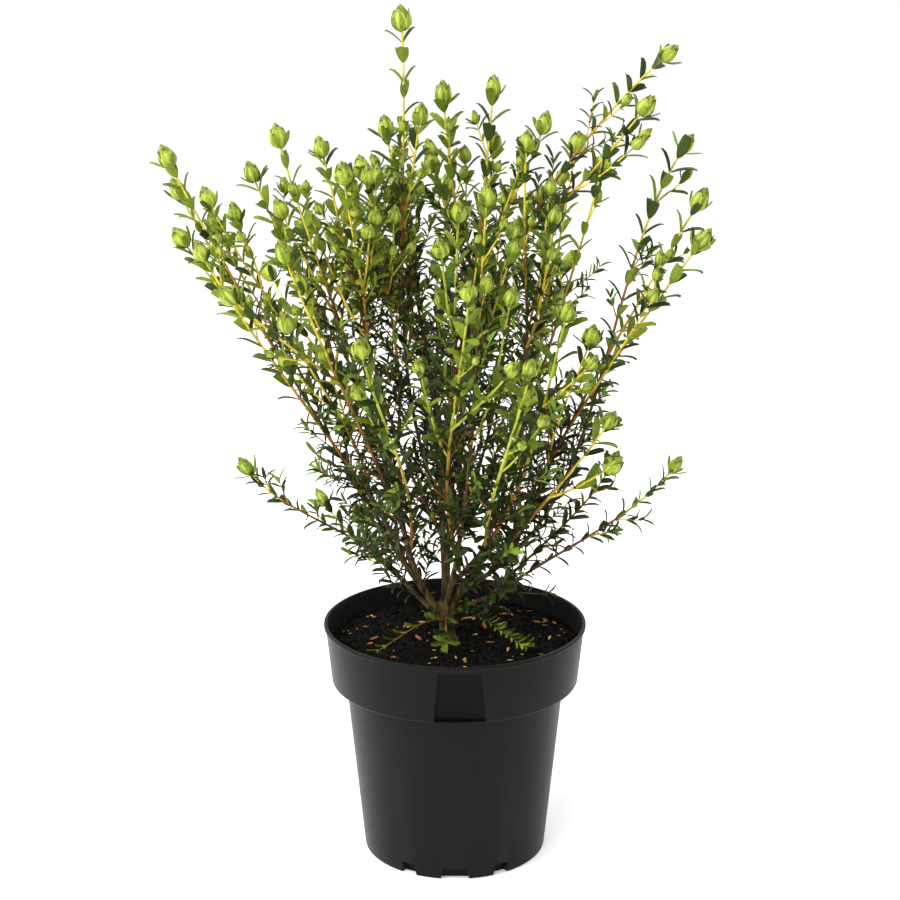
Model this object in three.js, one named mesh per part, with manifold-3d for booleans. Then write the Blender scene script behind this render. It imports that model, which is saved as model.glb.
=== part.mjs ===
// A potted rice flower: a many-stemmed evergreen shrub in green bud, in a black nursery pot of 18 cm.
// Millimetres, +Z up, the front of the pot towards -Y. The origin is the centre of the pot's underside.

import * as THREE from 'three';
import { mergeVertices } from 'three/addons/utils/BufferGeometryUtils.js';
import Module from 'manifold-3d';

const wasm = await Module();
wasm.setup();

// The clear gap between two pieces that meet.
const GAP = 0.3;

// The pot: its outside radii from the foot up to the rim, and its walls.
const POT = {
  height: 167,
  footRadius: 63.5,
  footCorner: 4,
  bodyTopRadius: 76.5,
  collarHeight: 45,
  collarFootRadius: 86.2,
  collarChamfer: 1.5,
  collarTopRadius: 90.2,
  lipRadius: 91.5,
  lipHeight: 3,
  wall: 1.8,
  floor: 2.4,
  facets: 30,
};

// The plain label panel that is let into the collar at the front, a little to the right: half widths and
// depths, top and bottom.
const PANEL = {
  aside: 3,
  halfTop: 14.5,
  halfFoot: 17,
  depthTop: 1.9,
  depthFoot: 3.8,
  belowRim: 5,
  overFoot: 1,
};

// The drain notches round the foot: three groups, each of a wide one with a narrow one on both sides.
const NOTCH = { groups: 3, apart: 30, wide: 20, narrow: 12, topShare: 0.72, height: 9, reach: 11 };

// The potting mix: how far it lies below the rim, and the height of its lumps.
const SOIL = { drop: 14, lump: 1.6, rings: [16, 42, 68], seed: 11 };

// The trunk, from the flat cut at the top of the mix to the fork.
const TRUNK = {
  height: 29,
  flareRadius: 8.2,
  flareHeight: 5,
  footRadius: 5.6,
  forkRadius: 5,
  foot: [-5, 0],
  lean: [-1.5, 0.5],
  facets: 8,
  steps: 6,
};
const LIMB = { facets: 5, steps: 4 };

// The main limbs. Each forks from the trunk or from another limb, at a share of its length.
// tip is the point that it reaches, and radii are its radius at the fork and at its tip.
const LIMBS = {
  left: { from: 'trunk', at: 0.45, tip: [-44, -4, 226], radii: [3.1, 1.9] },
  right: { from: 'trunk', at: 0.6, tip: [28, -4, 232], radii: [2.9, 1.9] },
  front: { from: 'trunk', at: 0.75, tip: [3, -34, 234], radii: [2.6, 1.8] },
  back: { from: 'trunk', at: 0.7, tip: [-4, 36, 236], radii: [2.6, 1.8] },
  centre: { from: 'trunk', at: 1, tip: [-10, 0, 262], radii: [3.2, 2] },
  left_front: { from: 'left', at: 0.4, tip: [-34, -36, 240], radii: [2.3, 1.7] },
  left_back: { from: 'left', at: 0.55, tip: [-40, 32, 250], radii: [2.2, 1.7] },
  right_low: { from: 'right', at: 0.3, tip: [46, -16, 228], radii: [2.3, 1.7] },
  right_back: { from: 'right', at: 0.55, tip: [34, 32, 250], radii: [2.2, 1.7] },
  right_front: { from: 'front', at: 0.4, tip: [27, -40, 244], radii: [2.2, 1.7] },
  centre_back: { from: 'centre', at: 0.4, tip: [8, 22, 268], radii: [2.2, 1.7] },
  low_right: { from: 'trunk', at: 0.5, tip: [32, -14, 194], radii: [2, 1.6] },
  low_left: { from: 'trunk', at: 0.3, tip: [-38, 8, 196], radii: [2, 1.6] },
};

// The masses of foliage. Each grows on from one limb, at its tip (at: 1) or from its side.
// tip is the end of the leading shoot, which carries a bud unless the mass is leafy. sides is the
// number of side shoots, bearing the side on which the first of them stands, in degrees from +X
// towards +Y, and spread how far off they end. rise turns the ends of the shoots upwards.
const MASSES = {
  left_upper: { on: 'left', at: 1, tip: [-190, 0, 491], sides: 4, bearing: 60, spread: 16 },
  left_lower: { on: 'left', at: 0.7, tip: [-166, -30, 433], sides: 1, bearing: -20, spread: 30 },
  left_mid: { on: 'left_back', at: 1, tip: [-137, 28, 477], sides: 2, bearing: -80, spread: 26 },
  left_near: { on: 'left_front', at: 1, tip: [-109, -70, 440], sides: 2, bearing: 60, spread: 48 },
  front_left: { on: 'left_front', at: 0.7, tip: [-58, -130, 391], sides: 2, bearing: 20, spread: 42 },
  left_top: { on: 'left', at: 0.84, tip: [-116, -4, 505], sides: 3, bearing: -160, spread: 26 },
  inner_left: { on: 'centre', at: 0.6, tip: [-87, -22, 500], sides: 3, bearing: 20, spread: 24 },
  leader: { on: 'centre', at: 0.88, tip: [-35, 4, 580], sides: 1, bearing: -60, spread: 18 },
  top_left: { on: 'centre_back', at: 0.55, tip: [-47, 46, 505], sides: 2, bearing: 140, spread: 24 },
  top_back: { on: 'centre_back', at: 1, tip: [-8, 44, 528], sides: 1, bearing: 120, spread: 18 },
  top_right: { on: 'centre_back', at: 0.72, tip: [26, 50, 532], sides: 2, bearing: -60, spread: 22 },
  front_tall: { on: 'centre', at: 0.72, tip: [2, -72, 466], sides: 2, bearing: -110, spread: 26 },
  front_inner: { on: 'front', at: 1, tip: [20, -56, 474], sides: 2, bearing: -180, spread: 32 },
  right_inner: { on: 'right', at: 1, tip: [46, -22, 504], sides: 2, bearing: -40, spread: 24 },
  right_leader: {
    on: 'centre',
    at: 1,
    tip: [138, -10, 559],
    sides: 2,
    bearing: 180,
    spread: 28,
    rise: -0.5,
  },
  right_outer: { on: 'right_low', at: 1, tip: [154, 14, 498], sides: 0, rise: -0.4 },
  right_side: { on: 'right_low', at: 0.84, tip: [159, -28, 467], sides: 0, rise: -0.1 },
  right_lower: {
    on: 'right_low',
    at: 0.64,
    tip: [158, -58, 446],
    sides: 1,
    bearing: -160,
    spread: 26,
    rise: -0.15,
  },
  right_mid: { on: 'right_back', at: 0.8, tip: [101, 46, 480], sides: 1, bearing: 140, spread: 34 },
  right_far: { on: 'right_back', at: 1, tip: [86, 98, 488], sides: 1, bearing: -140, spread: 22 },
  near_right: { on: 'right_front', at: 1, tip: [70, -100, 408], sides: 1, bearing: -40, spread: 38 },
  near_low: { on: 'right_front', at: 0.75, tip: [46, -138, 381], sides: 1, bearing: 60, spread: 24 },
  near_mid: { on: 'front', at: 0.8, tip: [8, -122, 425], sides: 2, bearing: -40, spread: 38 },
  right_bottom: { on: 'right_low', at: 0.44, tip: [99, -84, 334], sides: 1, bearing: -40, spread: 26 },
  far_left: { on: 'left_back', at: 0.8, tip: [-120, 96, 424], sides: 2, bearing: 0, spread: 34 },
  back_left: { on: 'back', at: 1, tip: [-66, 104, 470], sides: 2, bearing: 160, spread: 28 },
  back_mid: { on: 'back', at: 0.78, tip: [-6, 140, 452], sides: 2, bearing: 150, spread: 34 },
  back_right: { on: 'back', at: 0.7, tip: [54, 140, 440], sides: 1, bearing: 20, spread: 30 },
  low_right_far: { on: 'low_right', at: 1, tip: [144, -36, 286], sides: 0, rise: 0.5, leafy: true },
  low_right_near: { on: 'low_right', at: 0.8, tip: [106, -8, 281], sides: 0, rise: 0.6, leafy: true },
  low_left_far: { on: 'low_left', at: 1, tip: [-138, -20, 280], sides: 0, rise: 0.5, leafy: true },
  low_left_near: {
    on: 'low_left',
    at: 0.75,
    tip: [-92, 52, 236],
    sides: 1,
    bearing: 60,
    spread: 20,
    rise: 0.4,
    leafy: true,
  },
  low_back: {
    on: 'back',
    at: 0.45,
    tip: [34, 120, 268],
    sides: 1,
    bearing: 160,
    spread: 24,
    rise: 0.5,
    leafy: true,
  },
  foot_front: { on: 'trunk', at: 0.55, tip: [-6, -30, 162], sides: 0, rise: -0.2, leafy: true },
  foot_right: { on: 'trunk', at: 0.62, tip: [48, -42, 163], sides: 0, rise: -0.1, leafy: true },
  foot_left: { on: 'trunk', at: 0.35, tip: [-52, -44, 161], sides: 0, rise: -0.2, leafy: true },
};

// How shoots leave the limb that carries them and how they are drawn.
const SHOOT = {
  fork: 0.5,
  hold: 0.3,
  rise: 0.18,
  radii: [2.3, 1.35],
  facets: 3,
  step: 48,
};
const SIDE = {
  radii: [1.8, 1.25],
  first: 0.2,
  last: 0.62,
  drop: [12, 84],
  mostDrop: 0.45,
  spreadRange: [0.75, 1.3],
  turn: 137.5,
  apart: 7,
  seed: 100,
};

// Points along each shoot from which the leaves' distance is measured, and the room that they keep
// from the pot.
const SAMPLES = 28;
const POT_ROOM = { beside: 6, above: 4, inside: 10 };

// The leaves, in opposite pairs that turn a quarter at each node, fewer and larger than the living ones.
const LEAF = {
  length: 23,
  leafyLength: 15,
  width: 0.34,
  thickness: 0.9,
  spacing: 64,
  leafySpacing: 16,
  lean: 48,
  curl: 0.16,
  bare: 0.16,
  waist: 0.45,
  seed: 500,
};

// The flower buds, each with a pair of bracts at its foot. rings are shares of its length and radius.
const BUD = {
  length: 17,
  radius: 5.4,
  sides: 5,
  rings: [
    [0.36, 1],
    [0.66, 0.9],
  ],
  bract: 12,
  bractWidth: 5.2,
  bractLean: 34,
  bractTurn: 0.6,
};

const UP = new THREE.Vector3(0, 0, 1);
const soilTop = POT.height - SOIL.drop;
const radians = THREE.MathUtils.degToRad;

// Plain tools

const point = (xyz) => new THREE.Vector3(...xyz);

const between = (a, b, share) => a + (b - a) * share;

// A seeded source of numbers from 0 to 1, so that the plant is the same at each build.
function seededRandom(seed) {
  let state = seed >>> 0;
  return () => {
    state = (state + 0x6d2b79f5) >>> 0;
    let t = state;
    t = Math.imul(t ^ (t >>> 15), t | 1);
    t ^= t + Math.imul(t ^ (t >>> 7), t | 61);
    return ((t ^ (t >>> 14)) >>> 0) / 4294967296;
  };
}

function solidFrom(vertices, triangles) {
  return new wasm.Manifold(
    new wasm.Mesh({
      numProp: 3,
      vertProperties: new Float32Array(vertices.flatMap((v) => [v.x, v.y, v.z])),
      triVerts: new Uint32Array(triangles.flat()),
    }),
  );
}

function solidOfGeometry(geometry) {
  const bare = geometry.clone();
  bare.deleteAttribute('normal');
  bare.deleteAttribute('uv');
  const merged = mergeVertices(bare, 1e-4);
  return new wasm.Manifold(
    new wasm.Mesh({
      numProp: 3,
      vertProperties: merged.attributes.position.array,
      triVerts: new Uint32Array(merged.index.array),
    }),
  );
}

// The one body of a cut solid that has the most volume; loose scraps are dropped.
function largestBody(solid) {
  const bodies = solid.decompose();
  return bodies.reduce((best, body) => (body.volume() > best.volume() ? body : best));
}

function meshOf(name, solid, material) {
  const made = solid.getMesh();
  const geometry = new THREE.BufferGeometry()
    .setAttribute('position', new THREE.BufferAttribute(new Float32Array(made.vertProperties), 3))
    .setIndex(new THREE.BufferAttribute(new Uint32Array(made.triVerts), 1));
  geometry.computeVertexNormals();
  const mesh = new THREE.Mesh(geometry, material);
  mesh.name = name;
  return mesh;
}

// Points of a lathe profile as radius and height.
function latheSolid(profile, facets) {
  const points = profile.map(([radius, height]) => new THREE.Vector2(radius, height));
  const lathe = new THREE.LatheGeometry(points, facets).rotateX(Math.PI / 2);
  return solidOfGeometry(lathe);
}

// The pot

function outsideProfile() {
  const collarFoot = POT.height - POT.collarHeight;
  const lipFoot = POT.height - POT.lipHeight;
  return [
    [0, 0],
    [POT.footRadius - POT.footCorner, 0],
    [POT.footRadius, POT.footCorner],
    [POT.bodyTopRadius, collarFoot - POT.collarChamfer],
    [POT.collarFootRadius - POT.collarChamfer, collarFoot],
    [POT.collarFootRadius, collarFoot + POT.collarChamfer],
    [POT.collarTopRadius, lipFoot],
    [POT.lipRadius, lipFoot + 0.8],
    [POT.lipRadius, POT.height],
    [0, POT.height],
  ];
}

// The hollow of the pot up to a height, made smaller all round by a gap.
function hollowProfile(top, gap) {
  const inset = POT.wall + gap;
  const collarFoot = POT.height - POT.collarHeight + POT.wall;
  const lipFoot = POT.height - POT.lipHeight;
  const slope = (POT.collarTopRadius - POT.collarFootRadius) / (lipFoot - collarFoot);
  return [
    [0, POT.floor + gap],
    [POT.footRadius - inset - 1, POT.floor + gap],
    [POT.bodyTopRadius - inset, collarFoot + gap],
    [POT.collarFootRadius - inset, collarFoot + gap],
    [POT.collarFootRadius - inset + slope * (top - collarFoot - gap), top],
    [0, top],
  ];
}

// A block whose front slopes with the label panel, set back from it by a distance.
function panelBlock(setBack, margin) {
  const top = POT.height - PANEL.belowRim + margin;
  const foot = POT.height - POT.collarHeight + PANEL.overFoot - margin;
  const yTop = -(POT.collarTopRadius - PANEL.depthTop) + setBack;
  const yFoot = -(POT.collarFootRadius - PANEL.depthFoot) + setBack;
  const outer = -(POT.lipRadius + 10);
  const halfTop = PANEL.halfTop + margin;
  const halfFoot = PANEL.halfFoot + margin;
  const corners = [
    [PANEL.aside - halfFoot, outer, foot],
    [PANEL.aside + halfFoot, outer, foot],
    [PANEL.aside + halfFoot, yFoot, foot],
    [PANEL.aside - halfFoot, yFoot, foot],
    [PANEL.aside - halfTop, outer, top],
    [PANEL.aside + halfTop, outer, top],
    [PANEL.aside + halfTop, yTop, top],
    [PANEL.aside - halfTop, yTop, top],
  ].map(point);
  const quads = [
    [3, 2, 1, 0],
    [4, 5, 6, 7],
    [0, 1, 5, 4],
    [1, 2, 6, 5],
    [2, 3, 7, 6],
    [3, 0, 4, 7],
  ];
  return solidFrom(
    corners,
    quads.flatMap(([a, b, c, d]) => [
      [a, b, c],
      [a, c, d],
    ]),
  );
}

function drainNotch(width, bearing) {
  const outline = new THREE.Shape();
  outline.moveTo(-width / 2, -1);
  outline.lineTo(width / 2, -1);
  outline.lineTo((width / 2) * NOTCH.topShare, NOTCH.height);
  outline.lineTo((-width / 2) * NOTCH.topShare, NOTCH.height);
  outline.closePath();
  const cut = new THREE.ExtrudeGeometry(outline, { depth: NOTCH.reach + 10, bevelEnabled: false });
  cut.rotateX(Math.PI / 2);
  cut.translate(0, -(POT.footRadius - NOTCH.reach), 0);
  cut.rotateZ(radians(bearing));
  return solidOfGeometry(cut);
}

function drainNotches() {
  const cuts = [];
  for (let group = 0; group < NOTCH.groups; group++) {
    const middle = (group / NOTCH.groups) * 360;
    cuts.push(drainNotch(NOTCH.wide, middle));
    cuts.push(drainNotch(NOTCH.narrow, middle - NOTCH.apart));
    cuts.push(drainNotch(NOTCH.narrow, middle + NOTCH.apart));
  }
  return wasm.Manifold.union(cuts);
}

function potSolid() {
  const behindPanel = panelBlock(POT.wall, POT.wall);
  const hollow = latheSolid(hollowProfile(POT.height + 1, 0), POT.facets).subtract(behindPanel);
  return latheSolid(outsideProfile(), POT.facets)
    .subtract(panelBlock(0, 0))
    .subtract(hollow)
    .subtract(drainNotches());
}

// The potting mix fills the pot: the shape of the hollow, with a lumpy top between trunk and wall.
function soilSolid() {
  const random = seededRandom(SOIL.seed);
  const profile = hollowProfile(soilTop, GAP);
  const edge = profile.at(-2)[0];
  const rings = profile.slice(1, -2).concat([[edge, soilTop]]);
  for (const radius of SOIL.rings.toReversed()) rings.push([radius, soilTop]);
  const firstLumpy = rings.length - SOIL.rings.length;
  const vertices = [point([0, 0, profile[0][1]])];
  rings.forEach(([radius, height], ring) => {
    for (let i = 0; i < POT.facets; i++) {
      const angle = (i / POT.facets) * Math.PI * 2 - Math.PI / 2;
      const lumpy = ring >= firstLumpy && ring < rings.length - 1;
      const lift = lumpy ? (random() - 0.5) * 2 * SOIL.lump : 0;
      vertices.push(point([radius * Math.cos(angle), radius * Math.sin(angle), height + lift]));
    }
  });
  vertices.push(point([0, 0, soilTop]));
  const at = (ring, i) => 1 + ring * POT.facets + (i % POT.facets);
  const triangles = [];
  for (let i = 0; i < POT.facets; i++) {
    triangles.push([0, at(0, i + 1), at(0, i)]);
    for (let ring = 0; ring < rings.length - 1; ring++) {
      triangles.push([at(ring, i), at(ring, i + 1), at(ring + 1, i + 1)]);
      triangles.push([at(ring, i), at(ring + 1, i + 1), at(ring + 1, i)]);
    }
    triangles.push([at(rings.length - 1, i), at(rings.length - 1, i + 1), vertices.length - 1]);
  }
  const behindPanel = panelBlock(POT.wall + GAP, POT.wall + GAP);
  return solidFrom(vertices, triangles).subtract(behindPanel);
}

// Limbs and shoots

// A curve that leaves its start along one direction and reaches its tip along another.
function growthCurve(start, leave, tip, rise) {
  const chord = tip.clone().sub(start);
  const length = chord.length();
  const arrive = chord.clone().normalize().addScaledVector(UP, rise).normalize();
  return new THREE.CubicBezierCurve3(
    start,
    start.clone().addScaledVector(leave, length * SHOOT.hold),
    tip.clone().addScaledVector(arrive, -length * SHOOT.hold),
    tip,
  );
}

// A curve that forks from a parent curve at a share of its length, at the fork angle, towards its tip.
function forkedCurve(parent, at, tip, rise) {
  const start = parent.getPoint(at);
  const along = parent.getTangent(at);
  const aside = tip.clone().sub(start);
  aside.addScaledVector(along, -aside.dot(along)).normalize();
  const leave = along.multiplyScalar(Math.cos(SHOOT.fork)).addScaledVector(aside, Math.sin(SHOOT.fork));
  return growthCurve(start, leave, tip, rise);
}

// A direction across a shoot.
function acrossOf(along) {
  return new THREE.Vector3(1, 0.2, 0).addScaledVector(along, -along.x - 0.2 * along.y).normalize();
}

// Steps along a curve, each with its place, its direction and two directions across it that do not twist.
function stations(curve, steps) {
  const across = acrossOf(curve.getTangent(0));
  return Array.from({ length: steps + 1 }, (_, i) => {
    const at = curve.getPoint(i / steps);
    const along = curve.getTangent(i / steps);
    across.addScaledVector(along, -across.dot(along)).normalize();
    return { at, along, across: across.clone(), beside: new THREE.Vector3().crossVectors(along, across) };
  });
}

// A closed tube along a curve, whose radius is a function of the share of its length.
function taperedSolid(curve, radiusAt, sides, steps) {
  const vertices = [];
  stations(curve, steps).forEach(({ at, across, beside }, ring) => {
    const radius = radiusAt(ring / steps);
    for (let i = 0; i < sides; i++) {
      const angle = (i / sides) * Math.PI * 2;
      const out = across.clone().multiplyScalar(Math.cos(angle)).addScaledVector(beside, Math.sin(angle));
      vertices.push(at.clone().addScaledVector(out, radius));
    }
  });
  const triangles = [];
  for (let ring = 0; ring < steps; ring++) {
    for (let i = 0; i < sides; i++) {
      const a = ring * sides + i;
      const b = ring * sides + ((i + 1) % sides);
      triangles.push([a, b, b + sides], [a, b + sides, a + sides]);
    }
  }
  const last = steps * sides;
  for (let i = 1; i < sides - 1; i++) {
    triangles.push([0, i + 1, i], [last, last + i, last + i + 1]);
  }
  return solidFrom(vertices, triangles);
}

function trunkCurve() {
  const [x, y] = TRUNK.foot;
  const [leanX, leanY] = TRUNK.lean;
  const foot = point([x, y, soilTop + GAP - 1]);
  return new THREE.LineCurve3(foot, point([x + leanX, y + leanY, foot.z + TRUNK.height]));
}

function trunkRadius(share) {
  const height = share * TRUNK.height;
  const flare = Math.max(0, 1 - height / TRUNK.flareHeight) ** 2 * (TRUNK.flareRadius - TRUNK.footRadius);
  return between(TRUNK.footRadius, TRUNK.forkRadius, share) + flare;
}

// The trunk leans, and its foot is cut flat at the top of the mix.
function trunkSolid(curve, radiusAt) {
  const deep = TRUNK.flareHeight;
  const wide = 4 * TRUNK.flareRadius;
  const block = new THREE.BoxGeometry(wide, wide, deep);
  block.translate(TRUNK.foot[0], TRUNK.foot[1], soilTop + GAP - deep / 2);
  return taperedSolid(curve, radiusAt, TRUNK.facets, TRUNK.steps).subtract(solidOfGeometry(block));
}

function limbRadius(limb) {
  return (share) => between(limb.radii[0], limb.radii[1], share);
}

// Every limb's curve, by name, with the trunk first.
function limbCurves() {
  const curves = { trunk: trunkCurve() };
  for (const [name, limb] of Object.entries(LIMBS)) {
    const tip = point(limb.tip);
    curves[name] =
      limb.from === 'trunk' && limb.at === 1
        ? growthCurve(curves.trunk.getPoint(1).addScaledVector(UP, GAP), UP, tip, 0)
        : forkedCurve(curves[limb.from], limb.at, tip, SHOOT.rise);
  }
  return curves;
}

// The leading shoot of a mass. At a limb's tip it goes straight on, a gap away.
function leadCurve(mass, curves) {
  const carrier = curves[mass.on];
  const tip = point(mass.tip);
  const rise = mass.rise ?? SHOOT.rise;
  if (mass.at < 1) return forkedCurve(carrier, mass.at, tip, rise);
  const along = carrier.getTangent(1);
  return growthCurve(carrier.getPoint(1).addScaledVector(along, GAP), along, tip, rise);
}

// A side shoot forks from the lead and ends beside its tip, a little lower.
function sideCurve(mass, lead, index, random) {
  const at = between(SIDE.first, SIDE.last, random());
  const bearing = radians(mass.bearing + index * SIDE.turn);
  const spread = mass.spread * between(...SIDE.spreadRange, random());
  const most = SIDE.mostDrop * (1 - at) * lead.getLength();
  const drop = Math.min(between(...SIDE.drop, random()), most);
  const tip = lead.getPoint(1).addScaledVector(lead.getTangent(1), -drop);
  tip.add(new THREE.Vector3(Math.cos(bearing) * spread, Math.sin(bearing) * spread, 0));
  return forkedCurve(lead, at, tip, SHOOT.rise);
}

const samplesOf = (curve, radiusAt, owner) =>
  curve.getPoints(SAMPLES).map((at, i) => ({ at, radius: radiusAt(i / SAMPLES), owner }));

// The distance from a point to the nearest shoot of its own mass, and to the nearest of all others.
function clearances(at, samples, owner) {
  let own = Infinity;
  let other = Infinity;
  for (const sample of samples) {
    const distance = at.distanceTo(sample.at) - sample.radius;
    if (sample.owner === owner) own = Math.min(own, distance);
    else other = Math.min(other, distance);
  }
  return { own, other };
}

// All shoots, mass by mass. A side shoot that would come too near another mass's shoot is skipped.
function growShoots(curves) {
  const samples = samplesOf(curves.trunk, trunkRadius, 'limb');
  for (const [name, limb] of Object.entries(LIMBS)) {
    samples.push(...samplesOf(curves[name], limbRadius(limb), 'limb'));
  }
  const leadRadius = (share) => between(...SHOOT.radii, share);
  const sideRadius = (share) => between(...SIDE.radii, share);
  const shoots = {};
  for (const [name, mass] of Object.entries(MASSES)) {
    const curve = leadCurve(mass, curves);
    shoots[name] = [{ curve, radiusAt: leadRadius, leafy: mass.leafy }];
    samples.push(...samplesOf(curve, leadRadius, name));
  }
  Object.entries(MASSES).forEach(([name, mass], order) => {
    const random = seededRandom(SIDE.seed + order);
    for (let i = 0; i < mass.sides; i++) {
      const curve = sideCurve(mass, shoots[name][0].curve, i, random);
      const own = samplesOf(curve, sideRadius, name);
      const free = own.every(({ at }) => clearances(at, samples, name).other > SIDE.apart);
      if (!free) continue;
      shoots[name].push({ curve, radiusAt: sideRadius, leafy: mass.leafy });
      samples.push(...own);
    }
  });
  return { shoots, samples };
}

// Leaves and buds

// A leaf is a flat spindle of six faces with a ridge along its top, from its root to its curled tip.
function leafPoints(root, along, out, length, width, lean) {
  const direction = along.clone().multiplyScalar(Math.cos(lean)).addScaledVector(out, Math.sin(lean));
  const beside = new THREE.Vector3().crossVectors(along, out);
  const face = new THREE.Vector3().crossVectors(beside, direction);
  const middle = root.clone().addScaledVector(direction, length * LEAF.waist);
  return [
    root,
    root.clone().addScaledVector(direction, length).addScaledVector(face, -length * LEAF.curl),
    middle.clone().addScaledVector(beside, width / 2),
    middle.clone().addScaledVector(beside, -width / 2),
    middle.clone().addScaledVector(face, LEAF.thickness),
  ];
}

function leafSolid(points) {
  const [root, tip, left, right, top] = [0, 1, 2, 3, 4];
  return solidFrom(points, [
    [root, left, top],
    [root, top, right],
    [tip, top, left],
    [tip, right, top],
    [root, right, left],
    [tip, left, right],
  ]);
}

// A faceted bud, pointed at both ends, whose middle is at the end of the shoot.
function budSolid(centre, along, across) {
  const beside = new THREE.Vector3().crossVectors(along, across);
  const foot = centre.clone().addScaledVector(along, -BUD.length / 2);
  const vertices = [foot];
  for (const [height, width] of BUD.rings) {
    for (let i = 0; i < BUD.sides; i++) {
      const angle = (i / BUD.sides) * Math.PI * 2;
      const out = across.clone().multiplyScalar(Math.cos(angle)).addScaledVector(beside, Math.sin(angle));
      const core = foot.clone().addScaledVector(along, height * BUD.length);
      vertices.push(core.addScaledVector(out, BUD.radius * width));
    }
  }
  vertices.push(foot.clone().addScaledVector(along, BUD.length));
  const triangles = [];
  for (let i = 0; i < BUD.sides; i++) {
    const low = 1 + i;
    const lowNext = 1 + ((i + 1) % BUD.sides);
    triangles.push([0, lowNext, low]);
    triangles.push([low, lowNext, lowNext + BUD.sides], [low, lowNext + BUD.sides, low + BUD.sides]);
    triangles.push([low + BUD.sides, lowNext + BUD.sides, 1 + 2 * BUD.sides]);
  }
  return solidFrom(vertices, triangles);
}

// Whether a point is outside the pot and over the mix.
function clearOfPot(at) {
  const reach = Math.hypot(at.x, at.y);
  const inPot = reach < POT.lipRadius + POT_ROOM.beside && at.z < POT.height + POT_ROOM.above;
  return !inPot || (reach < POT.collarFootRadius - POT_ROOM.inside && at.z > soilTop + SOIL.lump + 1);
}

// A leaf is kept where its own mass's shoots are the nearest, clear of limbs, mix and pot.
function leafHasRoom(points, samples, name) {
  const [root, tip, left, right, top] = points;
  const middle = (a, b) => a.clone().lerp(b, 0.5);
  const probes = [tip, left, right, top];
  probes.push(middle(left, tip), middle(right, tip), middle(root, left), middle(root, right));
  return probes.every((at) => {
    const { own, other } = clearances(at, samples, name);
    return own + 2 * GAP < other && clearOfPot(at);
  });
}

// The opposite pairs of leaves down one shoot, each pair a quarter turn on from the one above.
function leavesOn({ curve, leafy }, samples, name, random) {
  const length = curve.getLength();
  const spacing = leafy ? LEAF.leafySpacing : LEAF.spacing;
  const solids = [];
  const firstTurn = random() * Math.PI;
  let pair = 0;
  const first = leafy ? 2 : BUD.length * 0.6;
  for (let below = first; below < length * (1 - LEAF.bare); below += spacing) {
    const share = 1 - below / length;
    const at = curve.getPoint(share);
    const along = curve.getTangent(share);
    const across = acrossOf(along);
    const size = leafy ? LEAF.leafyLength : LEAF.length;
    for (const turn of [0, Math.PI]) {
      const out = across.clone().applyAxisAngle(along, firstTurn + pair * (Math.PI / 2) + turn);
      const points = leafPoints(at, along, out, size, size * LEAF.width, radians(LEAF.lean));
      if (leafHasRoom(points, samples, name)) solids.push(leafSolid(points));
    }
    pair += 1;
  }
  return solids;
}

function budOn({ curve }) {
  const at = curve.getPoint(1);
  const along = curve.getTangent(1);
  const across = acrossOf(along);
  const solids = [budSolid(at, along, across)];
  const root = at.clone().addScaledVector(along, -BUD.length * 0.4);
  for (const turn of [BUD.bractTurn, BUD.bractTurn + Math.PI]) {
    const out = across.clone().applyAxisAngle(along, turn);
    const points = leafPoints(root, along, out, BUD.bract, BUD.bractWidth, radians(BUD.bractLean));
    solids.push(leafSolid(points));
  }
  return solids;
}

function massSolid(name, shoots, samples, grownLimbs, order) {
  const random = seededRandom(LEAF.seed + order);
  const pieces = [];
  for (const shoot of shoots) {
    const steps = Math.max(2, Math.round(shoot.curve.getLength() / SHOOT.step));
    pieces.push(taperedSolid(shoot.curve, shoot.radiusAt, SHOOT.facets, steps));
    pieces.push(...leavesOn(shoot, samples, name, random));
    if (!shoot.leafy) pieces.push(...budOn(shoot));
  }
  return largestBody(wasm.Manifold.union(pieces).subtract(grownLimbs));
}

// The assembly

const MATERIALS = {
  pot: new THREE.MeshStandardMaterial({ color: 0x242628, roughness: 0.5, metalness: 0 }),
  soil: new THREE.MeshStandardMaterial({ color: 0x16110d, roughness: 1, metalness: 0 }),
  bark: new THREE.MeshStandardMaterial({ color: 0x6b4a2a, roughness: 0.85, metalness: 0 }),
  foliage: new THREE.MeshStandardMaterial({ color: 0x4f7536, roughness: 0.6, metalness: 0 }),
};

function buildPlant() {
  const plant = new THREE.Group();
  plant.add(meshOf('pot', potSolid(), MATERIALS.pot));
  plant.add(meshOf('soil', soilSolid(), MATERIALS.soil));

  const curves = limbCurves();
  const grown = (radiusAt) => (share) => radiusAt(share) + GAP;
  plant.add(meshOf('trunk', trunkSolid(curves.trunk, trunkRadius), MATERIALS.bark));
  let grownLimbs = trunkSolid(curves.trunk, grown(trunkRadius));
  for (const [name, limb] of Object.entries(LIMBS)) {
    const limbSolid = (radiusAt) => taperedSolid(curves[name], radiusAt, LIMB.facets, LIMB.steps);
    const clear = limbSolid(limbRadius(limb)).subtract(grownLimbs);
    plant.add(meshOf('limb_' + name, largestBody(clear), MATERIALS.bark));
    grownLimbs = grownLimbs.add(limbSolid(grown(limbRadius(limb))));
  }

  const { shoots, samples } = growShoots(curves);
  Object.keys(MASSES).forEach((name, order) => {
    const solid = massSolid(name, shoots[name], samples, grownLimbs, order);
    plant.add(meshOf('foliage_' + name, solid, MATERIALS.foliage));
  });
  return plant;
}

export default buildPlant();
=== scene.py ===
import functools
import math

import bmesh
import bpy
import numpy as np
from bpy.props import FloatProperty, FloatVectorProperty, IntProperty, PointerProperty
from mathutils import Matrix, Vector, noise


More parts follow.
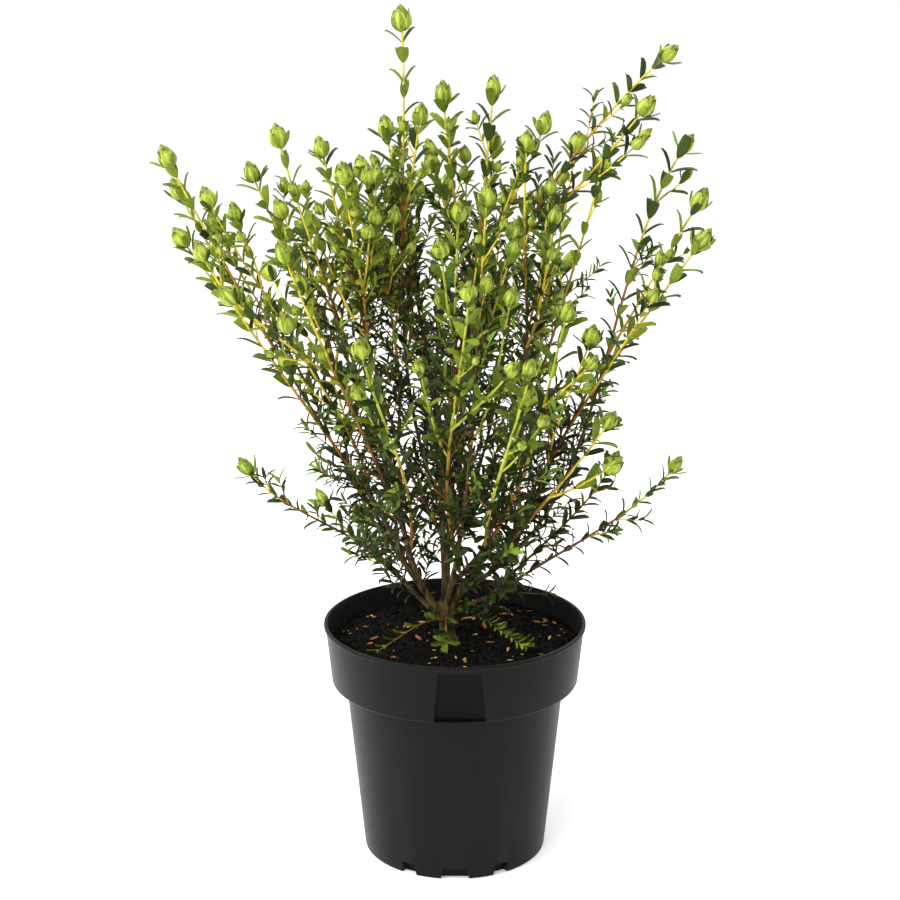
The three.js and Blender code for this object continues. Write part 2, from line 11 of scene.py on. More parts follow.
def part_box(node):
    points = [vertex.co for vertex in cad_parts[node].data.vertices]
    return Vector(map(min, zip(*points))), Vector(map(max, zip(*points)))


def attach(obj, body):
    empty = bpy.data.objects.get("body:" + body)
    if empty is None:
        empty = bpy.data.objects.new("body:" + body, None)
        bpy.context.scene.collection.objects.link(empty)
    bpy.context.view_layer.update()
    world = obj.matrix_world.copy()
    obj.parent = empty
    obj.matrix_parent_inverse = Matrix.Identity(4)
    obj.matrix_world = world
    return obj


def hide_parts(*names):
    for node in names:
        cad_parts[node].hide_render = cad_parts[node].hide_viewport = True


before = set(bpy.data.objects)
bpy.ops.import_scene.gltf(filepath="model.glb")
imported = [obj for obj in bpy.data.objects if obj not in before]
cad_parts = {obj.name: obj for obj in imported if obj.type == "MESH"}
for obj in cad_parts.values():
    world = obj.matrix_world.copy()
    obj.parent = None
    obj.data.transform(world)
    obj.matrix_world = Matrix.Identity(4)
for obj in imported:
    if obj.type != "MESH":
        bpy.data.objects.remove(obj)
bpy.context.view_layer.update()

bl_info = {
    "name": "Potted Rice Flower",
    "version": (1, 0, 0),
    "blender": (4, 5, 0),
    "location": "3D View > Sidebar > Rice Flower",
    "description": "Grows a many-stemmed rice flower in green bud, in a black nursery pot",
    "category": "Add Mesh",
}

# Sizes in this file are in millimetres, except in the settings, which are in Blender's metres.
MM = 0.001
UP = np.array([0.0, 0.0, 1.0])
FOLIAGE = sorted(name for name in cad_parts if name.startswith("foliage_"))
WOOD = sorted(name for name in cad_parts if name.startswith("limb_")) + ["trunk"]
POT_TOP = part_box("pot")[1].z / MM
# The mix stands a little under the rim.
MIX_TOP = POT_TOP - 14.0
# The gap that the part's own solids leave between limb and shoot, and between mix and wall.
GAP = 0.3

# The trunk, from the top of the mix to the fork.
TRUNK = {
    "height": 29.0,
    "flare_radius": 8.2,
    "flare_height": 5.0,
    "foot_radius": 5.6,
    "fork_radius": 5.0,
    "foot": (-5.0, 0.0),
    "lean": (-1.5, 0.5),
}

# The main limbs: what each forks from and at which share of it, the point it reaches, and its radii
# at foot and tip.
LIMBS = {
    "left": ("trunk", 0.45, (-44, -4, 226), (3.1, 1.9)),
    "right": ("trunk", 0.6, (28, -4, 232), (2.9, 1.9)),
    "front": ("trunk", 0.75, (3, -34, 234), (2.6, 1.8)),
    "back": ("trunk", 0.7, (-4, 36, 236), (2.6, 1.8)),
    "centre": ("trunk", 1, (-10, 0, 262), (3.2, 2)),
    "left_front": ("left", 0.4, (-34, -36, 240), (2.3, 1.7)),
    "left_back": ("left", 0.55, (-40, 32, 250), (2.2, 1.7)),
    "right_low": ("right", 0.3, (46, -16, 228), (2.3, 1.7)),
    "right_back": ("right", 0.55, (34, 32, 250), (2.2, 1.7)),
    "right_front": ("front", 0.4, (27, -40, 244), (2.2, 1.7)),
    "centre_back": ("centre", 0.4, (8, 22, 268), (2.2, 1.7)),
    "low_right": ("trunk", 0.5, (32, -14, 194), (2, 1.6)),
    "low_left": ("trunk", 0.3, (-38, 8, 196), (2, 1.6)),
}

# The leading shoot of each mass of foliage: the limb it grows from and where, the point it reaches,
# the number of its side shoots, the side of the first of them in degrees, and how far off they end.
# The low masses are leafy, and those at the foot are sprigs without buds.
MASSES = {
    "left_upper": ("left", 1, (-190, 0, 491), 4, 60, 16),
    "left_lower": ("left", 0.7, (-166, -30, 433), 1, -20, 30),
    "left_mid": ("left_back", 1, (-137, 28, 477), 2, -80, 26),
    "left_near": ("left_front", 1, (-109, -70, 440), 2, 60, 48),
    "front_left": ("left_front", 0.7, (-58, -130, 391), 2, 20, 42),
    "left_top": ("left", 0.84, (-116, -4, 505), 3, -160, 26),
    "inner_left": ("centre", 0.6, (-87, -22, 500), 3, 20, 24),
    "leader": ("centre", 0.88, (-35, 4, 580), 1, -60, 18),
    "top_left": ("centre_back", 0.55, (-47, 46, 505), 2, 140, 24),
    "top_back": ("centre_back", 1, (-8, 44, 528), 1, 120, 18),
    "top_right": ("centre_back", 0.72, (26, 50, 532), 2, -60, 22),
    "front_tall": ("centre", 0.72, (2, -72, 466), 2, -110, 26),
    "front_inner": ("front", 1, (20, -56, 474), 2, -180, 32),
    "right_inner": ("right", 1, (46, -22, 504), 2, -40, 24),
    "right_leader": ("centre", 1, (138, -10, 559), 2, 180, 28),
    "right_outer": ("right_low", 1, (154, 14, 498), 0, 0, 0),
    "right_side": ("right_low", 0.84, (159, -28, 467), 0, 0, 0),
    "right_lower": ("right_low", 0.64, (158, -58, 446), 1, -160, 26),
    "right_mid": ("right_back", 0.8, (101, 46, 480), 1, 140, 34),
    "right_far": ("right_back", 1, (86, 98, 488), 1, -140, 22),
    "near_right": ("right_front", 1, (70, -100, 408), 1, -40, 38),
    "near_low": ("right_front", 0.75, (46, -138, 381), 1, 60, 24),
    "near_mid": ("front", 0.8, (8, -122, 425), 2, -40, 38),
    "right_bottom": ("right_low", 0.44, (99, -84, 334), 1, -40, 26),
    "far_left": ("left_back", 0.8, (-120, 96, 424), 2, 0, 34),
    "back_left": ("back", 1, (-66, 104, 470), 2, 160, 28),
    "back_mid": ("back", 0.78, (-6, 140, 452), 2, 150, 34),
    "back_right": ("back", 0.7, (54, 140, 440), 1, 20, 30),
    "low_right_far": ("low_right", 1, (144, -36, 286), 0, 0, 0),
    "low_right_near": ("low_right", 0.8, (106, -8, 281), 0, 0, 0),
    "low_left_far": ("low_left", 1, (-138, -20, 280), 0, 0, 0),
    "low_left_near": ("low_left", 0.75, (-92, 52, 236), 1, 60, 20),
    "low_back": ("back", 0.45, (34, 120, 268), 1, 160, 24),
    "foot_front": ("trunk", 0.55, (-6, -30, 162), 0, 0, 0),
    "foot_right": ("trunk", 0.62, (48, -42, 163), 0, 0, 0),
    "foot_left": ("trunk", 0.35, (-52, -44, 161), 0, 0, 0),
}

# How far the ends of some shoots turn upwards, where that isn't the usual rise.
RISES = {
    "right_leader": -0.5,
    "right_outer": -0.4,
    "right_side": -0.1,
    "right_lower": -0.15,
    "low_right_far": 0.5,
    "low_right_near": 0.6,
    "low_left_far": 0.5,
    "low_left_near": 0.4,
    "low_back": 0.5,
    "foot_front": -0.2,
    "foot_right": -0.1,
    "foot_left": -0.2,
}
# Every shoot: its fork angle in radians, how much of its length keeps its first and its last
# direction, how far its end turns upwards, and the radii of the part's own solid at foot and tip.
SHOOT = {"fork": 0.5, "hold": 0.3, "rise": 0.18, "radii": (2.3, 1.35)}
# The side shoots: their radii, the shares of the lead between which they fork, how far under its
# tip they end, how much the distance beside it varies, the turn in degrees from one to the next,
# the least room to another mass, and the first seed.
SIDE = {
    "radii": (1.8, 1.25),
    "first": 0.2,
    "last": 0.62,
    "drop": (12, 84),
    "most_drop": 0.45,
    "spread_range": (0.75, 1.3),
    "turn": 137.5,
    "apart": 7,
    "seed": 100,
}
# How many steps of a stem are measured when the room round it is tested.
SAMPLES = 28
# How far from the middle of the plant the shoots carry many leafy twigs, low down and high up.
LEAFY_REACH = ((230.0, 58.0), (380.0, 98.0))
# The shoots whose tips are over this height are bare of twigs for this length under the tip.
BARE_HEIGHT = 548.0
BARE_LENGTH = 60.0

# The second shoots: the shortest shoot that carries one, the middle of the crown from left to
# right, the chances of none, one or two of them there and outside it, how far under the tip they
# fork and at most at which share of the shoot, their length as shares of that, their lean in
# radians and their rise.
SECOND = {
    "least": 110.0,
    "middle": (-130.0, 50.0),
    "middle_chances": (0.1, 0.4, 0.5),
    "outer_chances": (0.7, 0.3, 0),
    "below": (70.0, 170.0),
    "most_below": 0.75,
    "reach": (0.5, 0.85),
    "lean": (0.16, 0.34),
    "rise": 0.12,
}
# The finer twigs: the range of their lengths, their lean in radians and their rise.
TWIGS = {
    "on_leafy_shoot": ((8, 20), 0.6, 0.3),
    "bud": ((14, 34), 0.5, 0.3),
    "leafy": ((14, 40), 0.55, 0.35),
    "on_limb": ((14, 36), 0.7, 0.3),
}
# The shortest shoot that carries bud twigs and leafy twigs, and how near its tip the bud twigs
# begin.
LEAST_CARRIER = 50.0
BUD_TWIG_START = 26.0
# How far under the tip the leafy twigs begin, the steps between them, and the chances of one at
# each step inside the leafy core and outside it.
LEAF_TWIG_START = (80, 105)
LEAF_TWIG_STEPS = (6, 13)
CORE_CHANCE, OUTER_CHANCE = 0.85, 0.12
# The share of a limb from which it carries leafy twigs, the steps between them and how old they
# are.
LIMB_TWIG_START = 0.4
LIMB_TWIG_STEP = 9
LIMB_TWIG_AGE = 300.0

# The true radii of the living stems, at the foot and at the tip, for each kind.
STEM_RADII = {
    "lead": (1.3, 0.69),
    "side": (1.0, 0.59),
    "second": (0.78, 0.49),
    "bud_twig": (0.56, 0.46),
    "leaf_twig": (0.52, 0.32),
    "leafy": (1.15, 0.5),
    "sprig": (0.62, 0.36),
}
# How old the feet are of the stems that are older than they are long.
FOOT_AGES = {"leafy": 310.0, "sprig": 170.0}


# Plain tools


def between(low, high, share):
    """The value at a share of the way from one value to another."""
    return low + (high - low) * share


def clamp(value):
    """A value held between 0 and 1."""
    return max(0.0, min(1.0, value))


def unit(vector):
    """A vector of length one in the same direction."""
    return vector / np.linalg.norm(vector)


def seeded(seed):
    """The same seeded numbers from 0 to 1 as in the part's own rule."""
    word = 0xFFFFFFFF
    state = seed & word

    def draw():
        nonlocal state
        state = (state + 0x6D2B79F5) & word
        t = state
        t = ((t ^ (t >> 15)) * (t | 1)) & word
        t ^= (t + (((t ^ (t >> 7)) * (t | 61)) & word)) & word
        return ((t ^ (t >> 14)) & word) / (word + 1)

    return draw


class Curve:
    """A cubic curve that a stem follows."""

    def __init__(self, *points):
        self.points = np.array(points, float)
        chords = np.diff(self.at(np.linspace(0, 1, 121)), axis=0)
        self.length = float(np.linalg.norm(chords, axis=1).sum())

    def at(self, share):
        """The point at a share of the curve, or the points at many."""
        t = np.asarray(share, float)[..., None]
        a, b, c, d = self.points
        return (1 - t) ** 3 * a + 3 * (1 - t) ** 2 * t * b + 3 * (1 - t) * t**2 * c + t**3 * d

    def along(self, share):
        """The direction of the curve there."""
        t = np.asarray(share, float)[..., None]
        a, b, c, d = self.points
        slope = (1 - t) ** 2 * (b - a) + 2 * (1 - t) * t * (c - b) + t**2 * (d - c)
        return slope / np.linalg.norm(slope, axis=-1, keepdims=True)


def across_of(along):
    """A direction across a stem."""
    return unit(np.array([1.0, 0.2, 0.0]) - along * (along[0] + 0.2 * along[1]))


def turned(vector, axis, angle):
    """A vector turned round an axis that it stands square to."""
    return vector * math.cos(angle) + np.cross(axis, vector) * math.sin(angle)


# The growth rule


def growth_curve(start, leave, tip, rise):
    """A curve that leaves its start along one direction and reaches its tip along another."""
    chord = tip - start
    length = np.linalg.norm(chord)
    arrive = unit(chord / length + UP * rise)
    hold = length * SHOOT["hold"]
    return Curve(start, start + leave * hold, tip - arrive * hold, tip)


def forked_curve(parent, at, tip, rise):
    """A curve that forks from a parent curve at the fork angle, towards its tip."""
    start = parent.at(at)
    along = parent.along(at)
    aside = tip - start
    aside = unit(aside - along * aside.dot(along))
    leave = along * math.cos(SHOOT["fork"]) + aside * math.sin(SHOOT["fork"])
    return growth_curve(start, leave, tip, rise)


def trunk_curve():
    """The trunk, from just under the top of the mix to the fork."""
    foot = np.array([*TRUNK["foot"], MIX_TOP + GAP - 1])
    top = foot + np.array([*TRUNK["lean"], TRUNK["height"]])
    return Curve(foot, between(foot, top, 1 / 3), between(foot, top, 2 / 3), top)


def trunk_radius(share):
    """The trunk's radius at a share of its height, with the flare at its foot."""
    flare = max(0.0, 1 - share * TRUNK["height"] / TRUNK["flare_height"]) ** 2
    plain = between(TRUNK["foot_radius"], TRUNK["fork_radius"], share)
    return plain + flare * (TRUNK["flare_radius"] - TRUNK["foot_radius"])


@functools.cache
def limb_curves():
    """Every limb's curve by name, with the trunk first."""
    curves = {"trunk": trunk_curve()}
    for name, (carrier, at, tip, _) in LIMBS.items():
        tip = np.array(tip, float)
        if carrier == "trunk" and at == 1:
            curves[name] = growth_curve(curves["trunk"].at(1) + UP * GAP, UP, tip, 0)
        else:
            curves[name] = forked_curve(curves[carrier], at, tip, SHOOT["rise"])
    return curves


def lead_curve(name):
    """The leading shoot of a mass. At a limb's tip it goes straight on."""
    carrier, at, tip, *_ = MASSES[name]
    curve = limb_curves()[carrier]
    rise = RISES.get(name, SHOOT["rise"])
    tip = np.array(tip, float)
    if at < 1:
        return forked_curve(curve, at, tip, rise)
    return growth_curve(curve.at(1) + curve.along(1) * GAP, curve.along(1), tip, rise)


def side_curve(name, lead, index, draw):
    """A side shoot forks from the lead and ends beside its tip, a little lower."""
    *_, bearing, spread = MASSES[name]
    at = between(SIDE["first"], SIDE["last"], draw())
    angle = math.radians(bearing + index * SIDE["turn"])
    reach = spread * between(*SIDE["spread_range"], draw())
    most = SIDE["most_drop"] * (1 - at) * lead.length
    drop = min(between(*SIDE["drop"], draw()), most)
    beside = np.array([math.cos(angle), math.sin(angle), 0])
    tip = lead.at(1) - lead.along(1) * drop + beside * reach
    return forked_curve(lead, at, tip, SHOOT["rise"])


class Stem:
    """A shoot or twig: its curve, kind and mass, how strongly it grows and how old its foot is.

    The age of a stem is counted as the length in millimetres that a shoot has grown since then.
    """

    def __init__(self, curve, kind, mass, vigour=1.0, foot_age=0.0):
        self.curve = curve
        self.kind = kind
        self.mass = mass
        self.vigour = vigour
        self.radii = STEM_RADII[kind]
        self.foot_age = foot_age or FOOT_AGES.get(kind, curve.length)


def kind_of(mass, kind):
    """Leafy masses have leafy shoots only, and those at the foot have trailing sprigs."""
    if mass.startswith("foot_"):
        return "sprig"
    return "leafy" if mass.startswith("low_") else kind


@functools.cache
def main_shoots():
    """The leading and side shoots of every mass, by the rule and seeds of the part's own solids.

    A side shoot that would come too near another mass is left out.
    """
    shares = np.linspace(0, 1, SAMPLES + 1)
    owners = {}

    def keep(curve, radii, owner):
        """Notes how much room a stem takes up."""
        reach = np.array([radii(share) for share in shares])
        owners.setdefault(owner, []).append((curve.at(shares), reach))

    curves = limb_curves()
    keep(curves["trunk"], trunk_radius, "limb")
    for name, (_, _, _, radii) in LIMBS.items():
        keep(curves[name], lambda share, r=radii: between(*r, share), "limb")
    stems = []
    leads = {}
    for name in MASSES:
        leads[name] = lead_curve(name)
        stems.append(Stem(leads[name], kind_of(name, "lead"), name))
        keep(leads[name], lambda share: between(*SHOOT["radii"], share), name)
    for order, name in enumerate(MASSES):
        draw = seeded(SIDE["seed"] + order)
        for index in range(MASSES[name][3]):
            curve = side_curve(name, leads[name], index, draw)
            points = curve.at(shares)
            others = [part for owner, parts in owners.items() if owner != name for part in parts]
            rooms = [
                np.linalg.norm(points[:, None] - centres[None], axis=2) - reach[None]
                for centres, reach in others
            ]
            if min(room.min() for room in rooms) <= SIDE["apart"]:
                continue
            stems.append(Stem(curve, kind_of(name, "side"), name))
            keep(curve, lambda share: between(*SIDE["radii"], share), name)
    return stems


def twig_curve(carrier, share, length, bearing, lean, rise):
    """A short twig that leaves its carrier on one side and bends up."""
    start = carrier.at(share)
    along = carrier.along(share)
    out = turned(across_of(along), along, bearing)
    tip = start + (along * math.cos(lean) + out * math.sin(lean)) * length
    leave = along * math.cos(SHOOT["fork"]) + out * math.sin(SHOOT["fork"])
    return growth_curve(start, leave, tip, rise)


@functools.cache
def second_shoots():
    """Thinner shoots with a bud of their own, which fork from the upper half of a main shoot."""
    random = np.random.default_rng(23)
    left, right = SECOND["middle"]
    nearest, farthest = SECOND["below"]
    shoots = []
    for stem in main_shoots():
        length = stem.curve.length
        if stem.kind not in ("lead", "side") or length < SECOND["least"]:
            continue
        tip = stem.curve.at(1.0)
        chances = SECOND["middle_chances" if left < tip[0] < right else "outer_chances"]
        for _ in range(random.choice([0, 1, 2], p=chances)):
            below = random.uniform(nearest, min(farthest, length * SECOND["most_below"]))
            reach = below * random.uniform(*SECOND["reach"])
            if tip[2] > BARE_HEIGHT:
                below += BARE_LENGTH
            lean = random.uniform(*SECOND["lean"])
            bearing = random.uniform(0, 2 * math.pi)
            share = 1 - below / length
            curve = twig_curve(stem.curve, share, reach, bearing, lean, SECOND["rise"])
            shoots.append(Stem(curve, "second", stem.mass, random.uniform(0, 1), below))
    return shoots


def in_leafy_core(place):
    """Whether a place is so near the middle of the plant that leafy twigs are many."""
    heights, reaches = np.array(LEAFY_REACH).T
    return math.hypot(place[0], place[1]) < np.interp(place[2], heights, reaches)


def twigs_on_leafy_shoot(stem, random):
    """Four small strong twigs on a leafy shoot."""
    reaches, lean, rise = TWIGS["on_leafy_shoot"]
    length = stem.curve.length
    twigs = []
    for below in random.uniform(16, 0.75 * length, 4):
        reach = random.uniform(*reaches)
        bearing = random.uniform(0, 2 * math.pi)
        curve = twig_curve(stem.curve, 1 - below / length, reach, bearing, lean, rise)
        twigs.append(Stem(curve, "leaf_twig", stem.mass, random.uniform(0.6, 1), 60))
    return twigs


def bud_twigs(stem, random):
    """None, one or two short twigs with a small bud, near the top of a shoot."""
    (least, longest), lean, rise = TWIGS["bud"]
    length = stem.curve.length
    most = 1 if stem.kind == "second" else 2
    bare = BARE_LENGTH if stem.curve.at(1.0)[2] > BARE_HEIGHT else BUD_TWIG_START
    twigs = []
    for _ in range(random.integers(0, most + 1)):
        below = random.uniform(bare, max(bare, min(100, length * 0.8)))
        reach = random.uniform(least, min(longest, below * 0.7))
        bearing = random.uniform(0, 2 * math.pi)
        curve = twig_curve(stem.curve, 1 - below / length, reach, bearing, lean, rise)
        twigs.append(Stem(curve, "bud_twig", stem.mass, 1, below * 0.8))
    return twigs


def leaf_twigs(stem, random):
    """Leafy twigs down the rest of a shoot, most of them in the leafy core."""
    reaches, lean, rise = TWIGS["leafy"]
    length = stem.curve.length
    twigs = []
    below = random.uniform(*LEAF_TWIG_START)
    while below < length * 0.96:
        share = 1 - below / length
        chance = CORE_CHANCE if in_leafy_core(stem.curve.at(share)) else OUTER_CHANCE
        if random.random() < chance:
            reach = random.uniform(*reaches)
            bearing = random.uniform(0, 2 * math.pi)
            curve = twig_curve(stem.curve, share, reach, bearing, lean, rise)
            twigs.append(Stem(curve, "leaf_twig", stem.mass, random.uniform(0, 1), below))
        below += random.uniform(*LEAF_TWIG_STEPS)
    return twigs


def twigs_on_limb(name, limb, random):
    """Leafy twigs up the outer part of a main limb."""
    reaches, lean, rise = TWIGS["on_limb"]
    twigs = []
    share = LIMB_TWIG_START
    while share < 1:
        bearing = random.uniform(0, 2 * math.pi)
        curve = twig_curve(limb, share, random.uniform(*reaches), bearing, lean, rise)
        twigs.append(Stem(curve, "leaf_twig", name, random.uniform(0, 0.9), LIMB_TWIG_AGE))
        share += LIMB_TWIG_STEP / limb.length
    return twigs


@functools.cache
def finer_twigs():
    """Short twigs: some with a small bud near the top of a shoot, and leafy ones lower down."""
    random = np.random.default_rng(41)
    twigs = []
    for stem in main_shoots() + second_shoots():
        if stem.kind == "leafy":
            twigs += twigs_on_leafy_shoot(stem, random)
        elif stem.kind in ("lead", "side", "second") and stem.curve.length >= LEAST_CARRIER:
            twigs += bud_twigs(stem, random)
            twigs += leaf_twigs(stem, random)
    for name, limb in limb_curves().items():
        if name != "trunk":
            twigs += twigs_on_limb(name, limb, random)
    return twigs


@functools.cache
def all_stems():
    """Every shoot and twig of the plant."""
    return main_shoots() + second_shoots() + finer_twigs()


def clear_of_pot(point):
    """Whether a leaf's tip is outside the pot, or inside its wall and over the mix."""
    reach = math.hypot(point[0], point[1])
    near_pot = reach < 97 and point[2] < POT_TOP + 3
    over_mix = reach < 82 and point[2] > MIX_TOP + 1.5
    return over_mix or not near_pot


# Meshes from arrays


def grid_quads(rows, columns, closed=True):
    """Quads between rows of vertices. In a closed grid each row is a ring."""
    start = np.arange(rows - 1)[:, None] * columns
    column = np.arange(columns if closed else columns - 1)[None]
    after = (column + 1) % columns
    below = start + columns
    quads = np.stack([start + column, start + after, below + after, below + column], axis=-1)
    return quads.reshape(-1, 4)


class Heap:
    """Vertices, faces and the finishes of the faces, gathered part by part."""

    def __init__(self):
        self.vertices = []
        self.faces = []
        self.shades = []
        self.count = 0

    def add(self, vertices, faces, shades=()):
        """Adds a part, whose faces count its vertices from 0."""
        self.vertices.append(vertices)
        self.faces.append(faces + self.count)
        self.shades.append(shades)
        self.count += len(vertices)

    def arrays(self):
        """All vertices, all faces and all finishes, each in one array."""
        return [np.concatenate(parts) for parts in (self.vertices, self.faces, self.shades)]


def add_piece(name, vertices, faces, materials, shades=None):
    """A smooth mesh object from arrays.

    faces is a list of arrays, each of triangles, of quads or of wider faces. shades is the material
    of each face in turn.
    """
    mesh = bpy.data.meshes.new(name)
    mesh.vertices.add(len(vertices))
    mesh.vertices.foreach_set("co", (np.asarray(vertices) * MM).astype(np.float32).ravel())
    corners = np.concatenate([part.ravel() for part in faces])
    sizes = np.concatenate([np.full(len(part), part.shape[1]) for part in faces])
    starts = np.concatenate([[0], np.cumsum(sizes)[:-1]])
    mesh.loops.add(len(corners))
    mesh.loops.foreach_set("vertex_index", corners.astype(np.int32))
    mesh.polygons.add(len(sizes))
    mesh.polygons.foreach_set("loop_start", starts.astype(np.int32))
    for material in materials:
        mesh.materials.append(material)
    if shades is not None:
        mesh.polygons.foreach_set("material_index", np.asarray(shades).astype(np.int32))
    mesh.update(calc_edges=True)
    mesh.validate()
    mesh.shade_smooth()
    piece = bpy.data.objects.new(name, mesh)
    bpy.context.scene.collection.objects.link(piece)
    return piece


def settle(piece, nodes):
    """Gives a piece its body and hides the solids that it stands for."""
    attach(piece, "root")
    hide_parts(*nodes)


def baked(piece):
    """Applies the modifiers of a piece to its mesh."""
    graph = bpy.context.evaluated_depsgraph_get()
    mesh = bpy.data.meshes.new_from_object(piece.evaluated_get(graph))
    old = piece.data
    piece.modifiers.clear()
    piece.data = mesh
    bpy.data.meshes.remove(old)


def lathe_arrays(profile, segments):
    """Vertices and quads of a closed profile of radius and height turned round the Z axis."""
    turns = np.linspace(0, 2 * math.pi, segments, endpoint=False) - math.pi / 2
    radii, heights = np.array(profile, float).T
    ring = np.stack([np.cos(turns), np.sin(turns), np.zeros(segments)], axis=1)
    vertices = radii[:, None, None] * ring[None] + heights[:, None, None] * UP
    return vertices.reshape(-1, 3), grid_quads(len(profile), segments)


def tube_arrays(curve, shares, radii, sides, start_back=0.0):
    """Vertices and quads of a tube along a curve, with an untwisted ring at each share.

    start_back sinks the first ring into whatever the tube grows from.
    """
    centres = curve.at(shares)
    directions = curve.along(shares)
    if start_back:
        centres[0] = centres[0] - directions[0] * start_back
    across = across_of(directions[0])
    angles = np.linspace(0, 2 * math.pi, sides, endpoint=False)
    rings = []
    for centre, along, radius in zip(centres, directions, radii):
        across = unit(across - along * across.dot(along))
        beside = np.cross(along, across)
        out = np.cos(angles)[:, None] * across + np.sin(angles)[:, None] * beside
        rings.append(centre + out * radius)
    return np.concatenate(rings), grid_quads(len(shares), sides)


# Finishes


class Finish:
    """A material in the making: patterns, and what the shader takes from them."""

    def __init__(self, name):
        self.material = bpy.data.materials.new(name)
        self.material.use_nodes = True
        self.nodes = self.material.node_tree.nodes
        self.links = self.material.node_tree.links
        self.shader = self.nodes["Principled BSDF"]

    def pattern(self, scale, detail, stretch=(1, 1, 1)):
        """A noise that is fixed to the piece, with its scale in repeats to the metre."""
        place = self.nodes.new("ShaderNodeTexCoord")
        mapping = self.nodes.new("ShaderNodeMapping")
        mapping.inputs["Scale"].default_value = stretch
        pattern = self.nodes.new("ShaderNodeTexNoise")
        pattern.inputs["Scale"].default_value = scale
        pattern.inputs["Detail"].default_value = detail
        self.links.new(place.outputs["Object"], mapping.inputs["Vector"])
        self.links.new(mapping.outputs["Vector"], pattern.inputs["Vector"])
        return pattern

    def colours(self, pattern, stops):
        """Colours the surface by a pattern. Each stop is a place in it and a colour."""
        ramp = self.nodes.new("ShaderNodeValToRGB")
        elements = ramp.color_ramp.elements
        while len(elements) < len(stops):
            elements.new(0.5)
        for element, (place, colour) in zip(elements, stops):
            element.position = place
            element.color = (*colour, 1)
        self.links.new(pattern.outputs["Fac"], ramp.inputs["Fac"])
        self.links.new(ramp.outputs["Color"], self.shader.inputs["Base Color"])

    def relief(self, pattern, strength, distance):
        """Raises the surface by a pattern, by up to a distance in metres."""
        bump = self.nodes.new("ShaderNodeBump")
        bump.inputs["Strength"].default_value = strength
        bump.inputs["Distance"].default_value = distance
        self.links.new(pattern.outputs["Fac"], bump.inputs["Height"])
        self.links.new(bump.outputs["Normal"], self.shader.inputs["Normal"])

    def gloss(self, specular, roughness=None):
        """Sets how strongly the surface shines and how rough it is."""
        self.shader.inputs["Specular IOR Level"].default_value = specular
        if roughness is not None:
            self.shader.inputs["Roughness"].default_value = roughness

    def uneven_roughness(self, pattern, least, most):
        """Makes the surface rougher by a pattern."""
        spread = self.nodes.new("ShaderNodeMapRange")
        spread.inputs["To Min"].default_value = least
        spread.inputs["To Max"].default_value = most
        self.links.new(pattern.outputs["Fac"], spread.inputs["Value"])
        self.links.new(spread.outputs["Result"], self.shader.inputs["Roughness"])


def shaded(colour, factor):
    """A colour made lighter or darker by a factor."""
    return tuple(clamp(channel * factor) for channel in colour)


def living_finish(name, colour, vary=0.18, roughness=0.5, scale=260.0, relief=0.25, specular=0.22):
    """A leaf, bud or young stem: one colour, gently mottled, with a fine relief."""
    finish = Finish(name)
    mottle = finish.pattern(scale, 3)
    finish.colours(mottle, [(0.3, shaded(colour, 1 - vary)), (0.7, shaded(colour, 1 + vary))])
    finish.relief(finish.pattern(scale * 6, 4), relief, 0.0002)
    finish.gloss(specular, roughness)
    return finish.material


def bark_finish(name, deep, tan, pale):
    """Scaly bark: a fibrous pattern drawn out along the stems, darker in its cracks."""
    finish = Finish(name)
    fibre = finish.pattern(300, 8, (1, 1, 0.3))
    finish.colours(fibre, [(0.36, deep), (0.5, tan), (0.68, pale)])
    finish.relief(fibre, 0.9, 0.0008)
    finish.gloss(0.25, 0.82)
    return finish.material


def moulded_finish(name, colour, roughness, specular):
    """Black plastic with the faint unevenness of a thin moulding."""
    finish = Finish(name)
    cloud = finish.pattern(9, 4)
    finish.colours(cloud, [(0.35, shaded(colour, 0.88)), (0.65, shaded(colour, 1.14))])
    finish.uneven_roughness(finish.pattern(26, 6), roughness - 0.05, roughness + 0.07)
    finish.relief(finish.pattern(1500, 3), 0.16, 0.0002)
    finish.gloss(specular)
    return finish.material


def mix_finish(name, colour):
    """Damp potting mix: near black, with brown crumbs."""
    finish = Finish(name)
    crumb = finish.pattern(320, 9)
    stops = [(0.38, shaded(colour, 0.35)), (0.55, colour), (0.78, shaded(colour, 3.2))]
    finish.colours(crumb, stops)
    finish.relief(crumb, 1.0, 0.0016)
    finish.gloss(0.08, 0.88)
    return finish.material


def floor_finish(name, colour, glow):
    """A pale matt floor, faintly clouded, that gives a little light of its own."""
    finish = Finish(name)
    finish.colours(finish.pattern(1.5, 3), [(0.3, shaded(colour, 0.99)), (0.7, tuple(colour))])
    finish.gloss(0.1, 0.9)
    finish.shader.inputs["Emission Color"].default_value = (1, 1, 1, 1)
    finish.shader.inputs["Emission Strength"].default_value = glow
    return finish.material


# Settings that a user would change


def size_setting(name, description, default):
    """A size in metres."""
    return FloatProperty(
        name=name,
        description=description,
        default=default,
        min=0.0,
        max=1.0,
        precision=4,
        subtype="DISTANCE",
        unit="LENGTH",
    )


def share_setting(name, description, default):
    """A share from 0 to 1."""
    return FloatProperty(
        name=name, description=description, default=default, min=0, max=1, subtype="FACTOR"
    )


def count_setting(name, description, default):
    """A number of small pieces."""
    return IntProperty(name=name, description=description, default=default, min=0, max=20000)


def colour_setting(name, description, default):
    """A colour."""
    return FloatVectorProperty(
        name=name, description=description, default=default, min=0, max=1, size=3, subtype="COLOR"
    )


def light_setting(name, description, default):
    """The strength of a light."""
    return FloatProperty(name=name, description=description, default=default, min=0)


